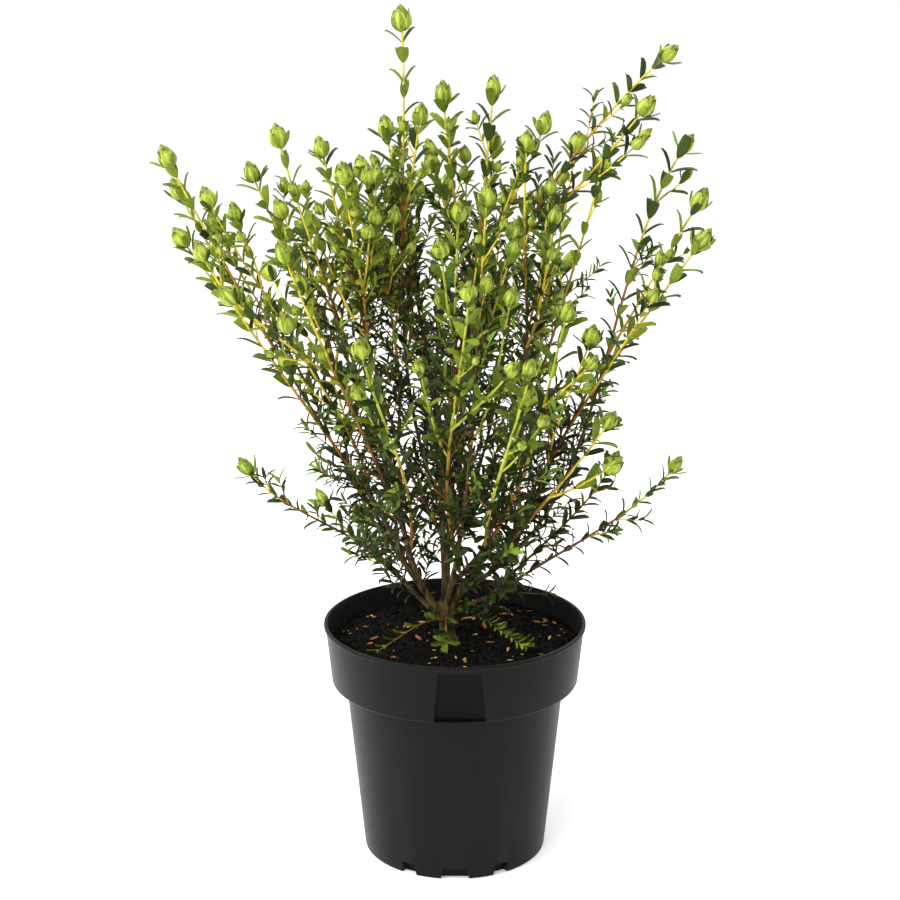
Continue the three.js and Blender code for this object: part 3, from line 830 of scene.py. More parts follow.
class RICE_PG_pot(bpy.types.PropertyGroup):
    """The nursery pot"""

    height: size_setting("Height", "Height of the pot over its rim", 0.167)
    foot_radius: size_setting("Foot Radius", "Outside radius at the foot", 0.064)
    body_radius: size_setting("Body Radius", "Outside radius just under the collar", 0.0765)
    collar_height: size_setting("Collar Height", "Height of the wide collar under the rim", 0.042)
    collar_foot: size_setting("Collar Foot Radius", "Outside radius at the collar's foot", 0.0862)
    collar_top: size_setting("Collar Top Radius", "Outside radius at the collar's top", 0.0902)
    rim_radius: size_setting("Rim Radius", "Outside radius of the small lip at the rim", 0.0915)
    wall: size_setting("Wall", "Thickness of the plastic", 0.0018)
    edge: size_setting("Edge Rounding", "Rounding of the moulded edges", 0.0004)
    plastic: colour_setting("Plastic", "Colour of the plastic", (0.0048, 0.0047, 0.0046))
    roughness: share_setting("Roughness", "Roughness of the satin surface", 0.38)


class RICE_PG_mix(bpy.types.PropertyGroup):
    """The potting mix"""

    lump: size_setting("Lumps", "Height of the lumps in the surface", 0.0028)
    crumbs: count_setting("Crumbs", "Number of loose crumbs on the surface", 2600)
    chips: count_setting("Chips", "Number of pale chips of wood and husk on the surface", 84)
    damp: colour_setting("Damp Mix", "Colour of the damp mix", (0.0032, 0.0028, 0.0022))
    husk: colour_setting("Husks", "Colour of the pale chips", (0.44, 0.22, 0.043))


class RICE_PG_bark(bpy.types.PropertyGroup):
    """The bark of the trunk and limbs"""

    relief: size_setting("Relief", "Height of the ridges of the bark", 0.0005)
    crack: colour_setting("Cracks", "Colour of the cracks", (0.018, 0.011, 0.005))
    tan: colour_setting("Bark", "Main colour of the bark", (0.08, 0.05, 0.016))
    pale: colour_setting("Ridges", "Colour of the worn ridges", (0.175, 0.112, 0.037))


class RICE_PG_shoot(bpy.types.PropertyGroup):
    """The stems of the shoots and twigs"""

    node: share_setting("Node Swelling", "Swelling of the stem where a pair of leaves stands", 0.16)
    green: colour_setting("Tip", "Colour just under the bud", (0.36, 0.44, 0.045))
    yellow: colour_setting("Young Stem", "Colour of the young stem", (0.68, 0.54, 0.05))
    lime: colour_setting("Late Stem", "Colour of the young late front shoots", (0.42, 0.455, 0.046))
    orange: colour_setting("Ripening Stem", "Colour halfway down the shoot", (0.33, 0.138, 0.018))
    brown: colour_setting("Red-brown Stem", "Colour of the lower shoot", (0.095, 0.036, 0.015))
    old: colour_setting("Old Stem", "Colour where the shoot meets the limb", (0.1, 0.06, 0.026))


class RICE_PG_leaf(bpy.types.PropertyGroup):
    """The leaves"""

    length: size_setting("Length", "Length of a leaf near the top", 0.0155)
    thickness: size_setting("Thickness", "Thickness of a leaf at its midrib", 0.0004)
    upper: colour_setting("Upper Face", "Colour of the upper face", (0.09, 0.133, 0.012))
    under: colour_setting("Underside", "Colour of the paler underside", (0.174, 0.234, 0.029))
    fresh: colour_setting("Fresh Leaf", "Colour of the newest leaves", (0.19, 0.31, 0.03))
    tip: colour_setting("Hooked Tip", "Colour of the dry hooked tip", (0.07, 0.032, 0.022))


class RICE_PG_bud(bpy.types.PropertyGroup):
    """The flower buds"""

    length: size_setting("Length", "Length of a full bud", 0.0172)
    radius: size_setting("Radius", "Radius of a full bud", 0.0056)
    body: colour_setting("Bract", "Colour of the bracts", (0.27, 0.338, 0.026))
    edge: colour_setting("Edges", "Colour of the pale edges and midribs", (0.5, 0.55, 0.11))
    tip: colour_setting("Tips", "Colour of the red-brown tips", (0.13, 0.05, 0.022))


class RICE_PG_stage(bpy.types.PropertyGroup):
    """The floor, lights and camera"""

    floor: colour_setting("Floor", "Colour of the floor", (0.95, 0.95, 0.95))
    glow: light_setting("Floor Glow", "Strength of the floor's own light", 0.23)
    sky: light_setting("Surrounding Light", "Strength of the even light", 0.83)
    key: light_setting("Key Light", "Power of the large front light", 27)
    lens: FloatProperty(
        name="Lens",
        description="Focal length of the camera",
        default=83.363,
        min=1,
        subtype="DISTANCE_CAMERA",
    )


# The pot

POT_FLOOR = 2.4
# How far under the rim its small lip begins.
LIP = 3.0
# The label panel: how far it stands to the right of the middle, its half width at its foot and top,
# how deep it lies in the collar there, the margins under and over it, how far out its edges are
# measured, and the angle by which they spread over a distance below it.
PANEL = {
    "aside": 3.0,
    "halves": (17.0, 14.5),
    "depths": (3.8, 1.9),
    "over_foot": 1.0,
    "below_rim": 5.0,
    "edge_reach": 2.0,
    "spread": (0.06, 60.0),
}
# The drain notches: groups round the foot, degrees between neighbours, the half width of the middle
# one and of those beside it, their width at the top as a share of that, their height and how far in
# they reach.
NOTCH = {
    "groups": 3,
    "apart": 30.0,
    "wide": 10.0,
    "narrow": 6.0,
    "top_share": 0.78,
    "height": 8.6,
    "reach": 5.5,
}
# Half the distance between the two rings at a level where a recess begins or ends.
STEP = 1e-5
# A level in the plain body of the pot, where no edge of a recess crosses another.
PLAIN_LEVEL = 60.0
# The widest angle between two columns of the pot.
COLUMN_ANGLE = 0.034


def rounded(corners):
    """A profile with rounded corners. Each is a radius, a height and the reach of its rounding."""
    points = np.array([corner[:2] for corner in corners], float)
    profile = [points[0]]
    for before, corner, after, (_, _, reach) in zip(points, points[1:], points[2:], corners[1:]):
        start = corner + unit(before - corner) * reach
        end = corner + unit(after - corner) * reach
        for share in np.linspace(0, 1, 6 if reach else 1):
            rest = 1 - share
            profile.append(rest**2 * start + 2 * rest * share * corner + share**2 * end)
    profile.append(points[-1])
    return profile


class PanelRecess:
    """The flat label panel that is let into the front of the collar."""

    def __init__(self, pot):
        self.wall = pot.wall / MM
        self.low = (pot.height - pot.collar_height) / MM + PANEL["over_foot"]
        self.high = pot.height / MM - PANEL["below_rim"]
        foot_depth, top_depth = PANEL["depths"]
        self.faces = (pot.collar_foot / MM - foot_depth, pot.collar_top / MM - top_depth)

    def level(self, height):
        """A height as a share of the panel's own height."""
        return (height - self.low) / (self.high - self.low)

    def span(self, inside):
        """Its lowest and highest level, on the inside or outside of the wall."""
        margin = self.wall if inside else 0
        return self.low - margin, self.high + margin

    def edges(self, height, inside):
        """The bearings of both edges at a height. Below the panel they spread a little."""
        share = clamp(self.level(height))
        half = between(*PANEL["halves"], share) + (self.wall if inside else 0)
        radius = between(*self.faces, share) + PANEL["edge_reach"]
        most, distance = PANEL["spread"]
        spread = most * clamp((self.low - height) / distance)
        return (
            math.asin((PANEL["aside"] - half) / radius) - spread,
            math.asin((PANEL["aside"] + half) / radius) + spread,
        )

    def radius(self, bearing, height, inside):
        """How far from the middle of the pot its face lies at a bearing and height."""
        face = between(*self.faces, self.level(height)) - (self.wall if inside else 0)
        return face / math.cos(bearing)


class DrainNotch:
    """A notch let into the foot of the pot, narrower at its top."""

    def __init__(self, pot, middle, half):
        self.wall = pot.wall / MM
        self.foot = pot.foot_radius / MM
        self.middle = math.radians(middle)
        self.half = half

    def span(self, inside):
        """Its lowest and highest level, on the inside or outside of the wall."""
        return -1, NOTCH["height"] + (self.wall if inside else 0)

    def edges(self, height, inside):
        """The bearings of both edges at a height."""
        share = clamp(height / NOTCH["height"])
        half = self.half * between(1, NOTCH["top_share"], share) + (self.wall if inside else 0)
        turn = math.asin(half / self.foot)
        return self.middle - turn, self.middle + turn

    def radius(self, bearing, height, inside):
        """How far from the middle of the pot its back lies at a bearing."""
        back = self.foot - NOTCH["reach"] - (self.wall if inside else 0)
        return back / math.cos(bearing - self.middle)


def drain_notches(pot):
    """Every notch round the foot, in groups of three."""
    notches = []
    for group in range(NOTCH["groups"]):
        middle = group / NOTCH["groups"] * 360
        middle -= 360 if middle > 180 else 0
        notches.append(DrainNotch(pot, middle, NOTCH["wide"]))
        notches.append(DrainNotch(pot, middle - NOTCH["apart"], NOTCH["narrow"]))
        notches.append(DrainNotch(pot, middle + NOTCH["apart"], NOTCH["narrow"]))
    return notches


def pot_rows(profile, inside, features):
    """The rings of one side of the pot, doubled where a recess begins or ends.

    Each ring is its radius, its height, whether it is inside and the recesses that it crosses.
    """
    spans = {feature: feature.span(inside) for feature in features}
    levels = sorted({level for span in spans.values() for level in span if level > 0})
    rings = [profile[0]]
    for before, after in zip(profile, profile[1:]):
        low, high = sorted((before[1], after[1]))
        crossed = [level for level in levels if low + STEP / 10 < level < high - STEP / 10]
        order = 1 if after[1] > before[1] else -1
        for level in crossed[::order]:
            share = (level - before[1]) / (after[1] - before[1])
            radius = between(before[0], after[0], share)
            rings += [(radius, level - STEP), (radius, level + STEP)][::order]
        rings.append(after)
    rows = []
    for radius, height in rings:
        held = [feature for feature, (low, high) in spans.items() if low < height < high]
        rows.append((radius, height, inside, held))
    return rows


def pot_columns(features):
    """The edges of the recesses, and the columns round the pot, doubled at each edge.

    Each column is the edge before it, its share of the way to the next and the recesses it is in.
    """
    edges = [
        (feature.edges(PLAIN_LEVEL, False)[side], feature, side)
        for feature in features
        for side in (0, 1)
    ]
    edges.sort(key=lambda edge: edge[0])
    columns = []
    held = []
    for place, (start, feature, side) in enumerate(edges):
        columns.append((place, 0.0, list(held)))
        if side == 0:
            held.append(feature)
        else:
            held.remove(feature)
        columns.append((place, 0.0, list(held)))
        end = edges[place + 1][0] if place + 1 < len(edges) else edges[0][0] + 2 * math.pi
        steps = max(1, round((end - start) / COLUMN_ANGLE))
        columns += [(place, step / steps, list(held)) for step in range(1, steps)]
    return [(feature, side) for _, feature, side in edges], columns


def pot_hollow(pot, top, gap):
    """The inside of the pot up to a level, a gap clear of its wall, as corners for rounded()."""
    inset = pot.wall / MM + gap
    collar_foot = (pot.height - pot.collar_height + pot.wall) / MM
    slope = (pot.collar_top - pot.collar_foot) / (pot.collar_height - pot.wall - LIP * MM)
    edge = pot.collar_foot / MM - inset
    corners = [
        (0, POT_FLOOR + gap, 0),
        (pot.foot_radius / MM - inset - 1, POT_FLOOR + gap, 2),
        (pot.body_radius / MM - inset, collar_foot + gap, 0.6),
        (edge, collar_foot + gap, 1.2),
    ]
    if top > pot.height / MM - LIP:
        corners.append((edge + slope * (top - LIP - collar_foot), top - LIP, 0.4))
        corners.append((pot.rim_radius / MM - inset, top, 0.5))
    else:
        corners.append((edge + slope * (top - collar_foot - gap), top, 0.8))
    return [*corners, (0, top, 0)]


def pot_outside(pot):
    """The outside of the pot up to its rim, as corners for rounded()."""
    height = pot.height / MM
    collar_foot = height - pot.collar_height / MM
    foot = pot.foot_radius / MM
    rim = pot.rim_radius / MM
    return [
        (0, 0, 0),
        (foot - NOTCH["reach"], 0, 0),
        (foot, 0, 1.8),
        (pot.body_radius / MM, collar_foot - 0.9, 1.6),
        (pot.collar_foot / MM, collar_foot, 1.8),
        (pot.collar_top / MM, height - LIP, 0.5),
        (rim, height - 0.8 * LIP, 0.5),
        (rim, height, 0.7),
        (rim - 1, height, 0),
    ]


def pot_surface(pot):
    """The vertices, quads and finishes of the pot: 0 outside, 1 inside and 2 on the label panel."""
    panel = PanelRecess(pot)
    features = [panel, *drain_notches(pot)]
    outside = rounded(pot_outside(pot))
    inside = rounded(pot_hollow(pot, pot.height / MM, 0))[-2::-1]
    rows = pot_rows(outside, False, features) + pot_rows(inside, True, features)
    edges, columns = pot_columns(features)
    vertices = []
    shades = []
    for radius, height, inner, crossed in rows:
        turns = [feature.edges(height, inner)[side] for feature, side in edges]
        turns.append(turns[0] + 2 * math.pi)
        for place, share, held in columns:
            turn = between(turns[place], turns[place + 1], share)
            recesses = [feature for feature in crossed if feature in held]
            reach = min([radius, *(feature.radius(turn, height, inner) for feature in recesses)])
            vertices.append((reach * math.sin(turn), -reach * math.cos(turn), height))
            shades.append(2 if panel in recesses else int(inner))
    return vertices, grid_quads(len(rows), len(columns)), shades[: -len(columns)]


def build_pot(pot):
    """The pot as moulded: tapering body, wide collar and lip, bare label panel and notched foot."""
    vertices, quads, shades = pot_surface(pot)
    finishes = [
        moulded_finish("satin_black_plastic", pot.plastic, pot.roughness, 0.095),
        # The inside is the same plastic, painted lighter to stand for light, and rougher.
        moulded_finish("dull_black_plastic_painted_lighter", shaded(pot.plastic, 1.9), 0.7, 0.14),
        # The label panel is the same plastic, painted darker as shade in its recess, and rougher.
        moulded_finish("panel_black_plastic_painted_shade", shaded(pot.plastic, 0.48), 0.55, 0.075),
    ]
    piece = add_piece("nursery_pot", vertices, [quads], finishes, shades)
    shape = bmesh.new()
    shape.from_mesh(piece.data)
    bmesh.ops.remove_doubles(shape, verts=shape.verts, dist=1e-7)
    bmesh.ops.dissolve_degenerate(shape, edges=shape.edges, dist=1e-7)
    shape.to_mesh(piece.data)
    shape.free()
    rounding = piece.modifiers.new("edges", "BEVEL")
    rounding.width = pot.edge
    rounding.segments = 2
    rounding.limit_method = "ANGLE"
    rounding.angle_limit = math.radians(38)
    baked(piece)
    piece.data.shade_smooth()
    piece.data.set_sharp_from_angle(angle=math.radians(34))
    return piece


# The potting mix

# The lumps of the mix, from broad to fine: how close together, which slice of the noise, and how
# high.
MIX_LUMPS = ((0.035, 4.0, 0.7), (0.13, 9.0, 0.5), (0.42, 2.0, 0.32), (1.1, 6.0, 0.14))
# Near the wall the mix sinks by this depth, from the first distance from the middle over the
# second.
MIX_SINK = (1.2, 74.0, 12.0)
# How far the top of the mix reaches from the middle. Behind the panel it reaches less far, over
# this half width, and the sides of the mix under its top still less.
MIX_REACH = 86.6
TOP_BEHIND_PANEL = (84.3, 19.0)
SIDES_BEHIND_PANEL = (79.5, 20.0)
# The mix is cut off at this level, over the drain notches.
MIX_FOOT = 12.0
MIX_COLUMNS = 300
MIX_RINGS = 96
# The crumbs: between which distances from the middle they lie, their radii, and the share of brown
# ones.
CRUMB_PLACES = (7, 84)
CRUMB_RADII = (0.35, 1.5)
BROWN_SHARE = 0.16
# The chips: between which distances from the middle they lie, their lengths with the chance of
# each, the widest of them, and half their thickness.
CHIP_PLACES = (13, 80)
CHIP_LENGTHS = ((3.4, 0.3), (5.0, 0.3), (7.4, 0.25), (11.0, 0.15))
CHIP_WIDEST = 3.0
CHIP_HALF = 0.3


def mix_level(x, y, lump):
    """The height of the mix's surface at a place, in millimetres."""
    lumps = sum(
        height * noise.noise(Vector((x * scale, y * scale, level)))
        for scale, level, height in MIX_LUMPS
    )
    depth, start, width = MIX_SINK
    return MIX_TOP + lump * lumps - depth * clamp((math.hypot(x, y) - start) / width)


def mix_reach(bearing):
    """How far the top of the mix reaches: it stops at the wall behind the label panel."""
    behind, half = TOP_BEHIND_PANEL
    x = MIX_REACH * math.cos(bearing)
    if math.sin(bearing) < 0 and abs(x - PANEL["aside"]) < half:
        return min(MIX_REACH, behind / abs(math.sin(bearing)))
    return MIX_REACH


def random_frames(random, count):
    """Turned frames, one for each small thing that lies about."""
    first = random.normal(size=(count, 3))
    first /= np.linalg.norm(first, axis=1, keepdims=True)
    second = np.cross(first, random.normal(size=(count, 3)))
    second /= np.linalg.norm(second, axis=1, keepdims=True)
    return np.stack([first, second, np.cross(first, second)], axis=2)


def ball_arrays(subdivisions):
    """The vertices and triangles of a ball of radius one."""
    ball = bmesh.new()
    bmesh.ops.create_icosphere(ball, subdivisions=subdivisions, radius=1)
    vertices = np.array([corner.co[:] for corner in ball.verts])
    faces = np.array([[corner.index for corner in face.verts] for face in ball.faces])
    ball.free()
    return vertices, faces


def scattered(base, faces, frames, sizes, places, random, rough):
    """Many small uneven lumps from one ball: turned, stretched and set in their places."""
    count = len(places)
    unevenness = 1 + random.uniform(-rough, rough, (count, len(base), 1))
    shaped = base[None] * unevenness * sizes[:, None]
    vertices = np.einsum("nij,nvj->nvi", frames, shaped) + places[:, None]
    offsets = np.arange(count)[:, None, None] * len(base)
    return vertices.reshape(-1, 3), (faces[None] + offsets).reshape(-1, faces.shape[1])


def mix_places(random, count, lump, distances):
    """Places on the mix, evenly dealt out between two distances from the middle."""
    inner, outer = distances
    places = []
    while len(places) < count:
        bearing = random.uniform(0, 2 * math.pi)
        reach = math.sqrt(random.uniform(inner**2, outer**2))
        x, y = reach * math.cos(bearing), reach * math.sin(bearing)
        if reach < mix_reach(bearing) - 1.5:
            places.append((x, y, mix_level(x, y, lump)))
    return np.array(places)


def build_mix(mix, pot):
    """The mix that fills the pot, clear of the notches at its foot, with a lumpy top."""
    hollow = rounded(pot_hollow(pot, MIX_TOP - 3, GAP))[:-1]
    below = [(radius, max(height, MIX_FOOT)) for radius, height in hollow]
    sides, _ = lathe_arrays(below, MIX_COLUMNS)
    behind, half = SIDES_BEHIND_PANEL
    held_back = np.abs(sides[:, 0] - PANEL["aside"]) < half
    sides[:, 1] = np.where(held_back, np.maximum(sides[:, 1], -behind), sides[:, 1])
    top = []
    for row in np.linspace(1, 0, MIX_RINGS) ** 0.8:
        for turn in np.linspace(0, 2 * math.pi, MIX_COLUMNS, endpoint=False) - math.pi / 2:
            reach = mix_reach(turn) * row
            x, y = reach * math.cos(turn), reach * math.sin(turn)
            top.append((x, y, mix_level(x, y, mix.lump / MM)))
    quads = grid_quads(len(below) + MIX_RINGS, MIX_COLUMNS)
    finishes = [mix_finish("potting_mix", mix.damp)]
    return add_piece("potting_mix", np.concatenate([sides, top]), [quads], finishes)


def build_crumbs(mix):
    """Loose crumbs all over the mix, a few of them browner."""
    random = np.random.default_rng(5)
    base, faces = ball_arrays(1)
    places = mix_places(random, mix.crumbs, mix.lump / MM, CRUMB_PLACES)
    least, most = (math.log(radius) for radius in CRUMB_RADII)
    radii = np.exp(random.uniform(least, most, mix.crumbs))
    sizes = radii[:, None] * random.uniform([0.8, 0.6, 0.5], [1.9, 1.2, 1.0], (mix.crumbs, 3))
    places[:, 2] += radii * 0.25
    frames = random_frames(random, mix.crumbs)
    vertices, triangles = scattered(base, faces, frames, sizes, places, random, 0.3)
    brown = shaded(mix.damp, 2.4)
    finishes = [mix_finish("potting_mix", mix.damp), mix_finish("brown_crumb", brown)]
    shades = np.repeat(random.random(mix.crumbs) < BROWN_SHARE, len(faces)).astype(int)
    return add_piece("crumbs", vertices, [triangles], finishes, shades)


def build_chips(mix):
    """Pale slivers of wood and husk that lie on the mix."""
    random = np.random.default_rng(12)
    base, faces = ball_arrays(2)
    base = base * (1 - 0.35 * np.abs(base[:, :1]))
    places = mix_places(random, mix.chips, mix.lump / MM, CHIP_PLACES)
    choices, chances = zip(*CHIP_LENGTHS)
    lengths = random.choice(choices, mix.chips, p=chances)
    lengths = lengths * random.uniform(0.8, 1.25, mix.chips)
    widths = np.minimum(CHIP_WIDEST, lengths * random.uniform(0.18, 0.38, mix.chips))
    sizes = np.stack([lengths / 2, widths / 2, np.full(mix.chips, CHIP_HALF)], axis=1)
    places[:, 2] += 1.2
    turns = random.uniform(0, 2 * math.pi, mix.chips)
    tilts = random.normal(0, 0.14, (mix.chips, 2))
    along = np.stack([np.cos(turns), np.sin(turns), tilts[:, 0]], axis=1)
    along /= np.linalg.norm(along, axis=1, keepdims=True)
    over = np.stack([tilts[:, 1], tilts[:, 0], np.ones(mix.chips)], axis=1)
    over -= along * np.sum(over * along, axis=1, keepdims=True)
    over /= np.linalg.norm(over, axis=1, keepdims=True)
    frames = np.stack([along, np.cross(over, along), over], axis=2)
    vertices, triangles = scattered(base, faces, frames, sizes, places, random, 0.12)
    husk = np.array(mix.husk)
    colours = {
        "husk_tan": husk,
        "husk_pale": husk * (1.25, 1.55, 2.2),
        "husk_orange": husk * (0.62, 0.38, 0.45),
    }
    shades = np.repeat(random.choice(3, mix.chips, p=[0.4, 0.25, 0.35]), len(faces))
    finishes = [living_finish(name, colour, 0.3, 0.6, 420) for name, colour in colours.items()]
    return add_piece("husk_chips", vertices, [triangles], finishes, shades)


# The trunk and limbs


WOOD_RINGS = 22
WOOD_SIDES = 18
# How thick a limb's wood is beside its solid, and how much it swells where it leaves its carrier.
LIMB_SHARE = 0.88
LIMB_SWELL = 1.3
# The size in metres of the cells from which the skin over the wood is made.
SKIN_CELL = 0.00056


def bark_lift(x, y, z):
    """How high the bark stands at a place, as a share of its relief: ridges, knots and scales.

    Higher up it is smoother, because the limbs are younger there.
    """
    ridge = 1 - abs(noise.noise(Vector((x * 0.62, y * 0.62, z * 0.11)))) * 2.4
    knots = noise.noise(Vector((x * 0.3, y * 0.3, z * 0.16 + 7)))
    scales = noise.noise(Vector((x * 1.5, y * 1.5, z * 0.5)))
    stout = 0.35 + 0.65 * clamp((196 - z) / 20)
    return (0.5 * ridge + 0.75 * knots + 0.35 * scales) * stout


def vertex_values(mesh, name):
    """The places or normals of a mesh's vertices, as an array."""
    values = np.empty(len(mesh.vertices) * 3, np.float32)
    mesh.vertices.foreach_get(name, values)
    return values.reshape(-1, 3)


def build_wood(bark):
    """One skin over the trunk and every limb, grown together at the forks, with ridged bark."""
    wood = Heap()
    caps = []
    shares = np.linspace(0, 1, WOOD_RINGS)
    for name, curve in limb_curves().items():
        if name == "trunk":
            radii = [trunk_radius(share) for share in shares]
        else:
            radii = [between(*LIMBS[name][3], share) * LIMB_SHARE for share in shares]
            radii[0] *= LIMB_SWELL
        tube, quads = tube_arrays(curve, shares, radii, WOOD_SIDES)
        ring = np.arange(WOOD_SIDES)[None] + wood.count
        caps += [ring[:, ::-1], ring + len(tube) - WOOD_SIDES]
        wood.add(tube, quads)
    vertices, quads, _ = wood.arrays()
    piece = add_piece("bark", vertices, [quads, *caps], [])
    skin = piece.modifiers.new("skin", "REMESH")
    skin.mode = "VOXEL"
    skin.voxel_size = SKIN_CELL
    baked(piece)
    mesh = piece.data
    places = vertex_values(mesh, "co") / MM
    lifts = np.array([bark_lift(x, y, z) for x, y, z in places.tolist()])
    places += vertex_values(mesh, "normal") * (lifts[:, None] * bark.relief / MM)
    mesh.vertices.foreach_set("co", (places * MM).astype(np.float32).ravel())
    mesh.update()
    mesh.shade_smooth()
    mesh.materials.clear()
    mesh.materials.append(bark_finish("tan_bark", bark.crack, bark.tan, bark.pale))
    return piece


# The shoots and twigs

# The colours of a stem change in so many steps over this length.
STEM_STEPS = 15
STEM_REACH = 340.0
# How far from the tip each colour stands: green, twice the young one, twice orange, brown and old.
STEM_STOPS = (0, 14, 68, 112, 132, 190, STEM_REACH)
# The stems that aren't green at their tips, with the age of their tips.
TIP_AGES = {"bud_twig": 8, "leafy": 30, "sprig": 150}
# The shoots whose tips end this far forward and this near the middle are late: younger and greener.
LATE_FRONT = -65.0
LATE_HALF = 80.0
# The distances between the rings of a stem, and between the swellings along it.
RING_SPACING = 3.2
NODE_SPACING = 4.4


def stem_colours(shoot, young):
    """The colours down a shoot in even steps, from green under the bud to old tan."""
    colours = [shoot.green, young, young, shoot.orange, shoot.orange, shoot.brown, shoot.old]
    table = np.array([tuple(colour) for colour in colours])
    steps = np.linspace(0, STEM_REACH, STEM_STEPS)
    return [tuple(np.interp(step, STEM_STOPS, channel) for channel in table.T) for step in steps]


def build_stems(name, stems, shoot, sides, random):
    """The tubes of some shoots or twigs, joined. Their colours go by the distance from the tip."""
    tubes = Heap()
    for stem in stems:
        length = stem.curve.length
        shares = np.linspace(0, 1, max(5, int(length / RING_SPACING)))
        foot, tip = stem.radii
        radii = foot + (tip - foot) * shares
        swelling = np.clip(np.sin(shares * length / NODE_SPACING) * 3 - 2, 0, 1)
        radii *= 1 + shoot.node * swelling
        radii[0] *= 1.2
        radii[-1] *= 0.4
        tube, faces = tube_arrays(stem.curve, shares, radii, sides, start_back=foot * 0.6)
        tip_x, tip_y, _ = stem.curve.at(1.0)
        late = tip_y < LATE_FRONT and abs(tip_x) < LATE_HALF
        ageing = random.uniform(0.55, 0.95) if late else random.uniform(0.9, 1.65)
        if stem.kind == "leaf_twig":
            tip_age = 55 + stem.foot_age * 0.3
        else:
            tip_age = TIP_AGES.get(stem.kind, 0)
        below = between(stem.foot_age * ageing, tip_age, (shares[1:] + shares[:-1]) / 2)
        step = below / STEM_REACH * (STEM_STEPS - 1)
        face_steps = np.repeat(step, sides) + random.uniform(-0.45, 0.45, len(faces))
        shades = np.clip(np.round(face_steps), 0, STEM_STEPS - 1) + late * STEM_STEPS
        tubes.add(tube, faces, shades)
    colours = stem_colours(shoot, shoot.yellow) + stem_colours(shoot, shoot.lime)
    finishes = [
        living_finish(f"{name}_{index}", colour, 0.16, 0.46, 420)
        for index, colour in enumerate(colours)
    ]
    vertices, quads, shades = tubes.arrays()
    return add_piece(name, vertices, [quads], finishes, shades)


# The leaves

# Along a leaf: how far from its foot, and its half width as a share of the widest.
LARGE_LEAF = (
    np.array([0.0, 0.1, 0.3, 0.525, 0.75, 0.925, 1.0]),
    np.array([0.14, 0.55, 0.92, 1.0, 0.95, 0.62, 0.0]),
)
SMALL_LEAF = (np.array([0.0, 0.25, 0.6, 0.9, 1.0]), np.array([0.2, 0.82, 1.0, 0.58, 0.0]))
# In how many steps the bend of a leaf is worked out.
BEND_STEPS = 40
# The angles by which each half of a leaf folds up, and by which its tip hooks over.
LEAF_FOLD = 0.26
LEAF_HOOK = 0.95
# The share of a leaf from which its tip hooks.
HOOK_START = 0.86
# The place of the dry tip's finish among the leaves' finishes, after five pairs.
TIP_SHADE = 10
# Leaves over this length have the finer outline.
SMALL_LENGTH = 11.0
PIECE_LEAVES = 4200


class Habit:
    """How a kind of stem carries its leaves.

    Each pair of values holds at the tip and at the distance of reach below it: the spacing of the
    pairs of leaves, the length of a leaf, its width as a share of that, its lean off the stem, its
    bend, and the chances of the shades light, plain, deep, fresh and dark. first is how far the
    topmost leaves are from the tip, missing the chance that a leaf isn't there, and level is for a
    sprig that lies flat.
    """

    def __init__(
        self,
        first,
        spacing,
        length,
        width,
        lean,
        bend,
        shades,
        reach=230,
        missing=0.05,
        level=False,
    ):
        self.first = first
        self.spacing = spacing
        self.length = length
        self.width = width
        self.lean = lean
        self.bend = bend
        self.shades = shades
        self.reach = reach
        self.missing = missing
        self.level = level


TOP_SHADES = ((0.42, 0.5, 0.08, 0, 0), (0.03, 0.37, 0.6, 0, 0))
LOW_SHADES = ((0.1, 0.5, 0.4, 0, 0), (0, 0.25, 0.6, 0, 0.15))
LATERAL_SHADES = ((0.03, 0.32, 0.45, 0.2, 0), (0, 0.08, 0.72, 0, 0.2))
TUFT_SHADES = ((0.2, 0.2, 0, 0.6, 0), (0, 0.3, 0.7, 0, 0))
FOOT_SHADES = ((0.25, 0.35, 0.1, 0.3, 0), (0.1, 0.4, 0.5, 0, 0))
STAR_SHADES = ((0, 0, 0, 1, 0), (0, 0.6, 0.4, 0, 0))
HABITS = {
    "lead": Habit(
        15, (12.5, 6.6), (16.5, 12.0), (0.38, 0.25), (0.64, 0.78), (0.3, 0.6), TOP_SHADES
    ),
    "side": Habit(
        14, (11.0, 6.0), (15.4, 11.5), (0.38, 0.25), (0.64, 0.78), (0.3, 0.6), TOP_SHADES
    ),
    "second": Habit(
        9, (9.5, 5.8), (13.8, 11.5), (0.37, 0.25), (0.62, 0.78), (0.3, 0.6), TOP_SHADES, 120
    ),
    "bud_twig": Habit(
        5, (7.5, 7.0), (11.0, 10), (0.32, 0.3), (0.7, 0.8), (0.3, 0.5), TOP_SHADES, 60
    ),
    "leaf_twig": Habit(
        1, (3.4, 4.4), (10.5, 11.0), (0.25, 0.22), (0.66, 0.98), (0.35, 0.7), LOW_SHADES, 40
    ),
    "tuft_twig": Habit(
        0.5, (2.6, 4.4), (10.5, 10), (0.28, 0.25), (0.6, 0.98), (0.3, 0.7), TUFT_SHADES, 22
    ),
    "leafy": Habit(
        3, (6.2, 7.6), (11.2, 12.6), (0.38, 0.33), (0.72, 0.95), (0.3, 0.6), LATERAL_SHADES, 150, 0
    ),
    "foot_front": Habit(
        0.5, (1.0, 8.5), (10.4, 10), (0.4, 0.3), (1.3, 0.8), (0.1, 0.4), STAR_SHADES, 14, 0, True
    ),
    "foot_right": Habit(
        0.6, (1.8, 2.6), (10.5, 10.5), (0.27, 0.3), (0.65, 1.0), (0.3, 0.5), FOOT_SHADES, 60
    ),
    "foot_left": Habit(
        0.6, (7.0, 11.0), (10.5, 11), (0.34, 0.36), (0.6, 0.7), (0.2, 0.3), FOOT_SHADES, 50
    ),
}
# The leaf length for which those lengths are given.
USUAL_LENGTH = 15.5
# Strong leafy twigs that end below this height are tufts of fresh leaves.
TUFT_VIGOUR = 0.8
TUFT_HEIGHT = 470.0
# How much of the painted shade and shadow low down and inside the crown the tufts take on.
TUFT_DARKNESS = 0.45
# No leaves stand this near the foot of a stem.
BARE_FOOT = 7.0
